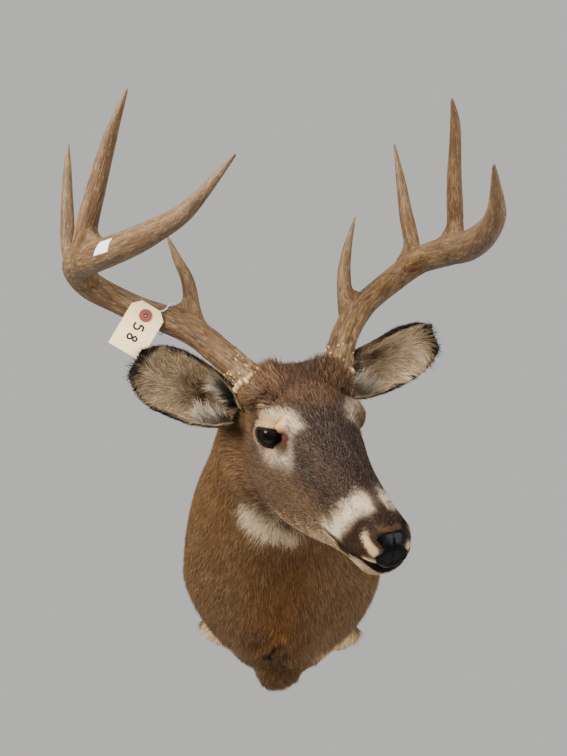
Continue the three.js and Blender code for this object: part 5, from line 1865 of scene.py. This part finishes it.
def add_whiskers(points, normals, count=34):
    """A few stiff dark whiskers on the lips and chin."""
    rng = np.random.default_rng(5)
    m = mirrored(to_head(points))
    over = over_mouth(m)
    chosen = np.flatnonzero((m[:, 0] > 135) & (m[:, 0] < 190) & (np.abs(over) > 3) & (np.abs(over) < 13))
    chosen = rng.choice(chosen, count, replace=False)
    roots, normal = points[chosen], normals[chosen]
    flow = np.tile(np.array([-0.5, 0, -0.5]) @ HEAD_AXES, (count, 1)) + 0.3 * rng.normal(size=(count, 3))
    hue = np.tile([0.010, 0.008, 0.007], (count, 1))
    uv = np.stack([rng.random(count) * 0.9, rng.random(count) * 0.9], 1)
    rows = tuft_rows(roots, normal, flow, 8 + 8 * rng.random(count), np.full(count, 0.28),
                     np.radians(35 + 25 * rng.random(count)), hue, hue, uv, 0.4,
                     np.radians(25 * rng.random(count)))
    build_tufts("whiskers", rows, LONG_FUR, True)


# ---------------------------------------------------------------- sticker and the tag's number
# corners of the blank label wrapped on the right beam: upper left, upper right, lower right, lower left
LABEL_CORNERS = [[-193.1, -427.4, 370.0], [-178.0, -445.2, 372.4], [-183.3, -439.4, 359.5],
                 [-202.3, -418.6, 356.9]]
LABEL_CELLS = 8  # along each edge
# where the tag's hole is, and the ways that the tag hangs and faces
TAG_AT = {"hole": [-165, -310, 300], "down": [-0.51, 0.05, -0.86], "faces": [0.06, -0.99, -0.09]}
# a plain number, written along the tag: strokes of [across, down] in millimetres from the hole
NUMBER_STROKES = [
    [[5.2, 13.0], [5.8, 18.5]], [[5.2, 13.0], [0.4, 12.6]],
    [[0.4, 12.6], [1.4, 15.6], [0.6, 18.2], [-2.4, 19.6], [-5.4, 18.2], [-6.2, 14.8], [-5.0, 12.4]],
    [[3.6, 27.4], [5.6, 29.6], [4.6, 32.2], [2.0, 32.6], [-0.4, 30.0], [-3.0, 27.2], [-6.0, 28.0],
     [-6.6, 31.2], [-4.4, 33.4], [-1.6, 32.4], [0.4, 29.4], [2.0, 27.2], [3.6, 27.4]]]
PEN_WIDTH, PEN_THICKNESS = 1.2, 0.12  # half sizes of a stroke


def add_label(points, faces):
    """A small blank paper label lying on the beam."""
    tree = BVHTree.FromPolygons([tuple(p) for p in points], faces.tolist())
    corners = np.array(LABEL_CORNERS)
    steps = np.linspace(0, 1, LABEL_CELLS + 1)
    across, down = (shares.ravel()[:, None] for shares in np.meshgrid(steps, steps))
    flat = (corners[0] * ((1 - across) * (1 - down)) + corners[1] * (across * (1 - down))
            + corners[2] * (across * down) + corners[3] * ((1 - across) * down))
    towards = unit(CAMERA_AT - corners.mean(0))
    top, under = [], []
    for place in flat:
        hit, normal, _, _ = tree.find_nearest(Vector(place))
        hit, normal = np.array(hit), np.array(normal)
        normal = normal if normal @ towards > 0 else -normal
        top.append(hit + normal * 0.9)
        under.append(hit + normal * 0.1)
    shape = outward(np.array(top + under), sheet_faces(len(steps), len(steps)))
    paper = paper_material("label_paper", (0.82, 0.81, 0.78), (0.90, 0.89, 0.87))
    add_piece("blank_label", *shape, paper, "card")


def add_number():
    """The number in pen on the tag's front."""
    down, facing = unit(TAG_AT["down"]), unit(TAG_AT["faces"])
    facing = unit(facing - facing @ down * down)
    across = np.cross(facing, down)
    shapes = []
    for stroke in NUMBER_STROKES:
        line = np.array(stroke, float)
        steps = np.linspace(0, 1, 4 * len(line)) * (len(line) - 1)
        flat = np.stack([np.interp(steps, np.arange(len(line)), line[:, k]) for k in range(2)], 1)
        flat = relaxed_line(flat)
        centre = np.array(TAG_AT["hole"]) + flat[:, :1] * across + flat[:, 1:] * down + facing * 0.42
        step = unit(np.gradient(centre, axis=0))
        beside = np.cross(step, facing)
        ring = ring_round(beside[:, None] * PEN_WIDTH, facing * PEN_THICKNESS, 6)
        shapes.append(closed_tube(centre[:, None] + ring))
    add_piece("tag_number", *joined(shapes), ink_material(), "card")


def relaxed_line(line):
    """A line with its corners rounded and its ends kept."""
    for _ in range(2):
        line[1:-1] = 0.5 * line[1:-1] + 0.25 * (line[:-2] + line[2:])
    return line


# ---------------------------------------------------------------- stage, light and camera
FLOOR_AT, FLOOR_RADIUS = -1280.0, 1600.0
STUDIO_WHITE, STUDIO_STRENGTH = (0.80, 0.79, 0.77, 1), 0.72
# [place and target in millimetres, size in metres, watts, colour]
LIGHTS = [
    [(-1250, -1450, 950), (0, -250, 100), 1.0, 88, (1.0, 0.985, 0.95)],
    [(1200, -1300, 500), (0, -250, 60), 1.2, 27, (0.97, 0.985, 1.0)],
    [(-200, -500, 1900), (0, -250, 100), 1.4, 18, (1.0, 0.99, 0.97)]]


def add_camera():
    """The camera, upright in the photograph's own direction."""
    camera = bpy.data.objects.new("camera", bpy.data.cameras.new("camera"))
    bpy.context.scene.collection.objects.link(camera)
    look, up = unit(CAMERA_LOOK), unit(CAMERA_UP)
    right = unit(np.cross(look, up))
    axes = np.stack([right, np.cross(right, look), -look], 1)
    camera.matrix_world = Matrix.Translation(Vector(CAMERA_AT * MM)) @ Matrix(axes.tolist()).to_4x4()
    camera.data.sensor_width = SENSOR
    camera.data.lens = LENS
    camera.data.clip_start = 0.05
    bpy.context.scene.camera = camera


def add_lights():
    """Three soft round lamps, from the left, the right and above, and an even pale surround."""
    for k, (place, target, size, watts, colour) in enumerate(LIGHTS):
        data = bpy.data.lights.new(f"light_{k + 1}", "AREA")
        data.shape = "DISK"
        data.size = size
        data.energy = watts
        data.color = colour
        lamp = bpy.data.objects.new(f"light_{k + 1}", data)
        bpy.context.scene.collection.objects.link(lamp)
        at = Vector(place) * MM
        lamp.location = at
        lamp.rotation_euler = (Vector(target) * MM - at).to_track_quat("-Z", "Y").to_euler()
    world = bpy.data.worlds.new("studio")
    world.use_nodes = True
    background = world.node_tree.nodes["Background"]
    background.inputs["Color"].default_value = STUDIO_WHITE
    background.inputs["Strength"].default_value = STUDIO_STRENGTH
    bpy.context.scene.world = world


def add_floor():
    """A plain pale disc well below the mount."""
    turns = circle(96)
    rings = [np.stack([FLOOR_RADIUS * s * np.cos(turns), FLOOR_RADIUS * s * np.sin(turns),
                       np.full(96, FLOOR_AT + h)], 1) for s, h in ((0.5, 0), (1, 0), (1, -12), (0.5, -12))]
    mesh = make_mesh("floor", *closed_tube(rings))
    mesh.materials.append(floor_material())
    add_object("floor", mesh)


# ---------------------------------------------------------------- everything in order
def dress_solids():
    """Looks of the solids that show as they are: the board, the tag, its ring and its string."""
    ring = paper_material("red_ring", (0.20, 0.032, 0.027), (0.28, 0.052, 0.042))
    looks = {
        "back_board": plywood_material(), "lot_tag": CARD,
        "tag_string": string_material(), "tag_eyelet": ring}
    for name, material in looks.items():
        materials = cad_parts[name].data.materials
        materials.clear()
        materials.append(material)


add_camera()
add_lights()
add_floor()
skin_points, skin_faces, skin_normals = make_skin()
skin_colour, _ = markings(skin_points)
add_piece("hide", skin_points, skin_faces, SKIN, "coat",
          ["trunk", "neck", "head", "lower_jaw", "foreleg_stub_R", "foreleg_stub_L"], skin_colour * 0.75)
add_nose_pad(skin_points, skin_faces)
for side, seed in (("R", 11), ("L", 12)):
    add_eye(side)
    antler = add_antler(side, ANTLERS[side])
    if side == "R":
        add_label(*antler)
    add_ear(np.random.default_rng(seed), side, EARS[side])
add_number()
add_whiskers(skin_points, skin_normals)
add_crown_hair(np.random.default_rng(8), skin_points, skin_faces, skin_normals)
add_coat(np.random.default_rng(3), skin_points, skin_faces, skin_normals)
dress_solids()
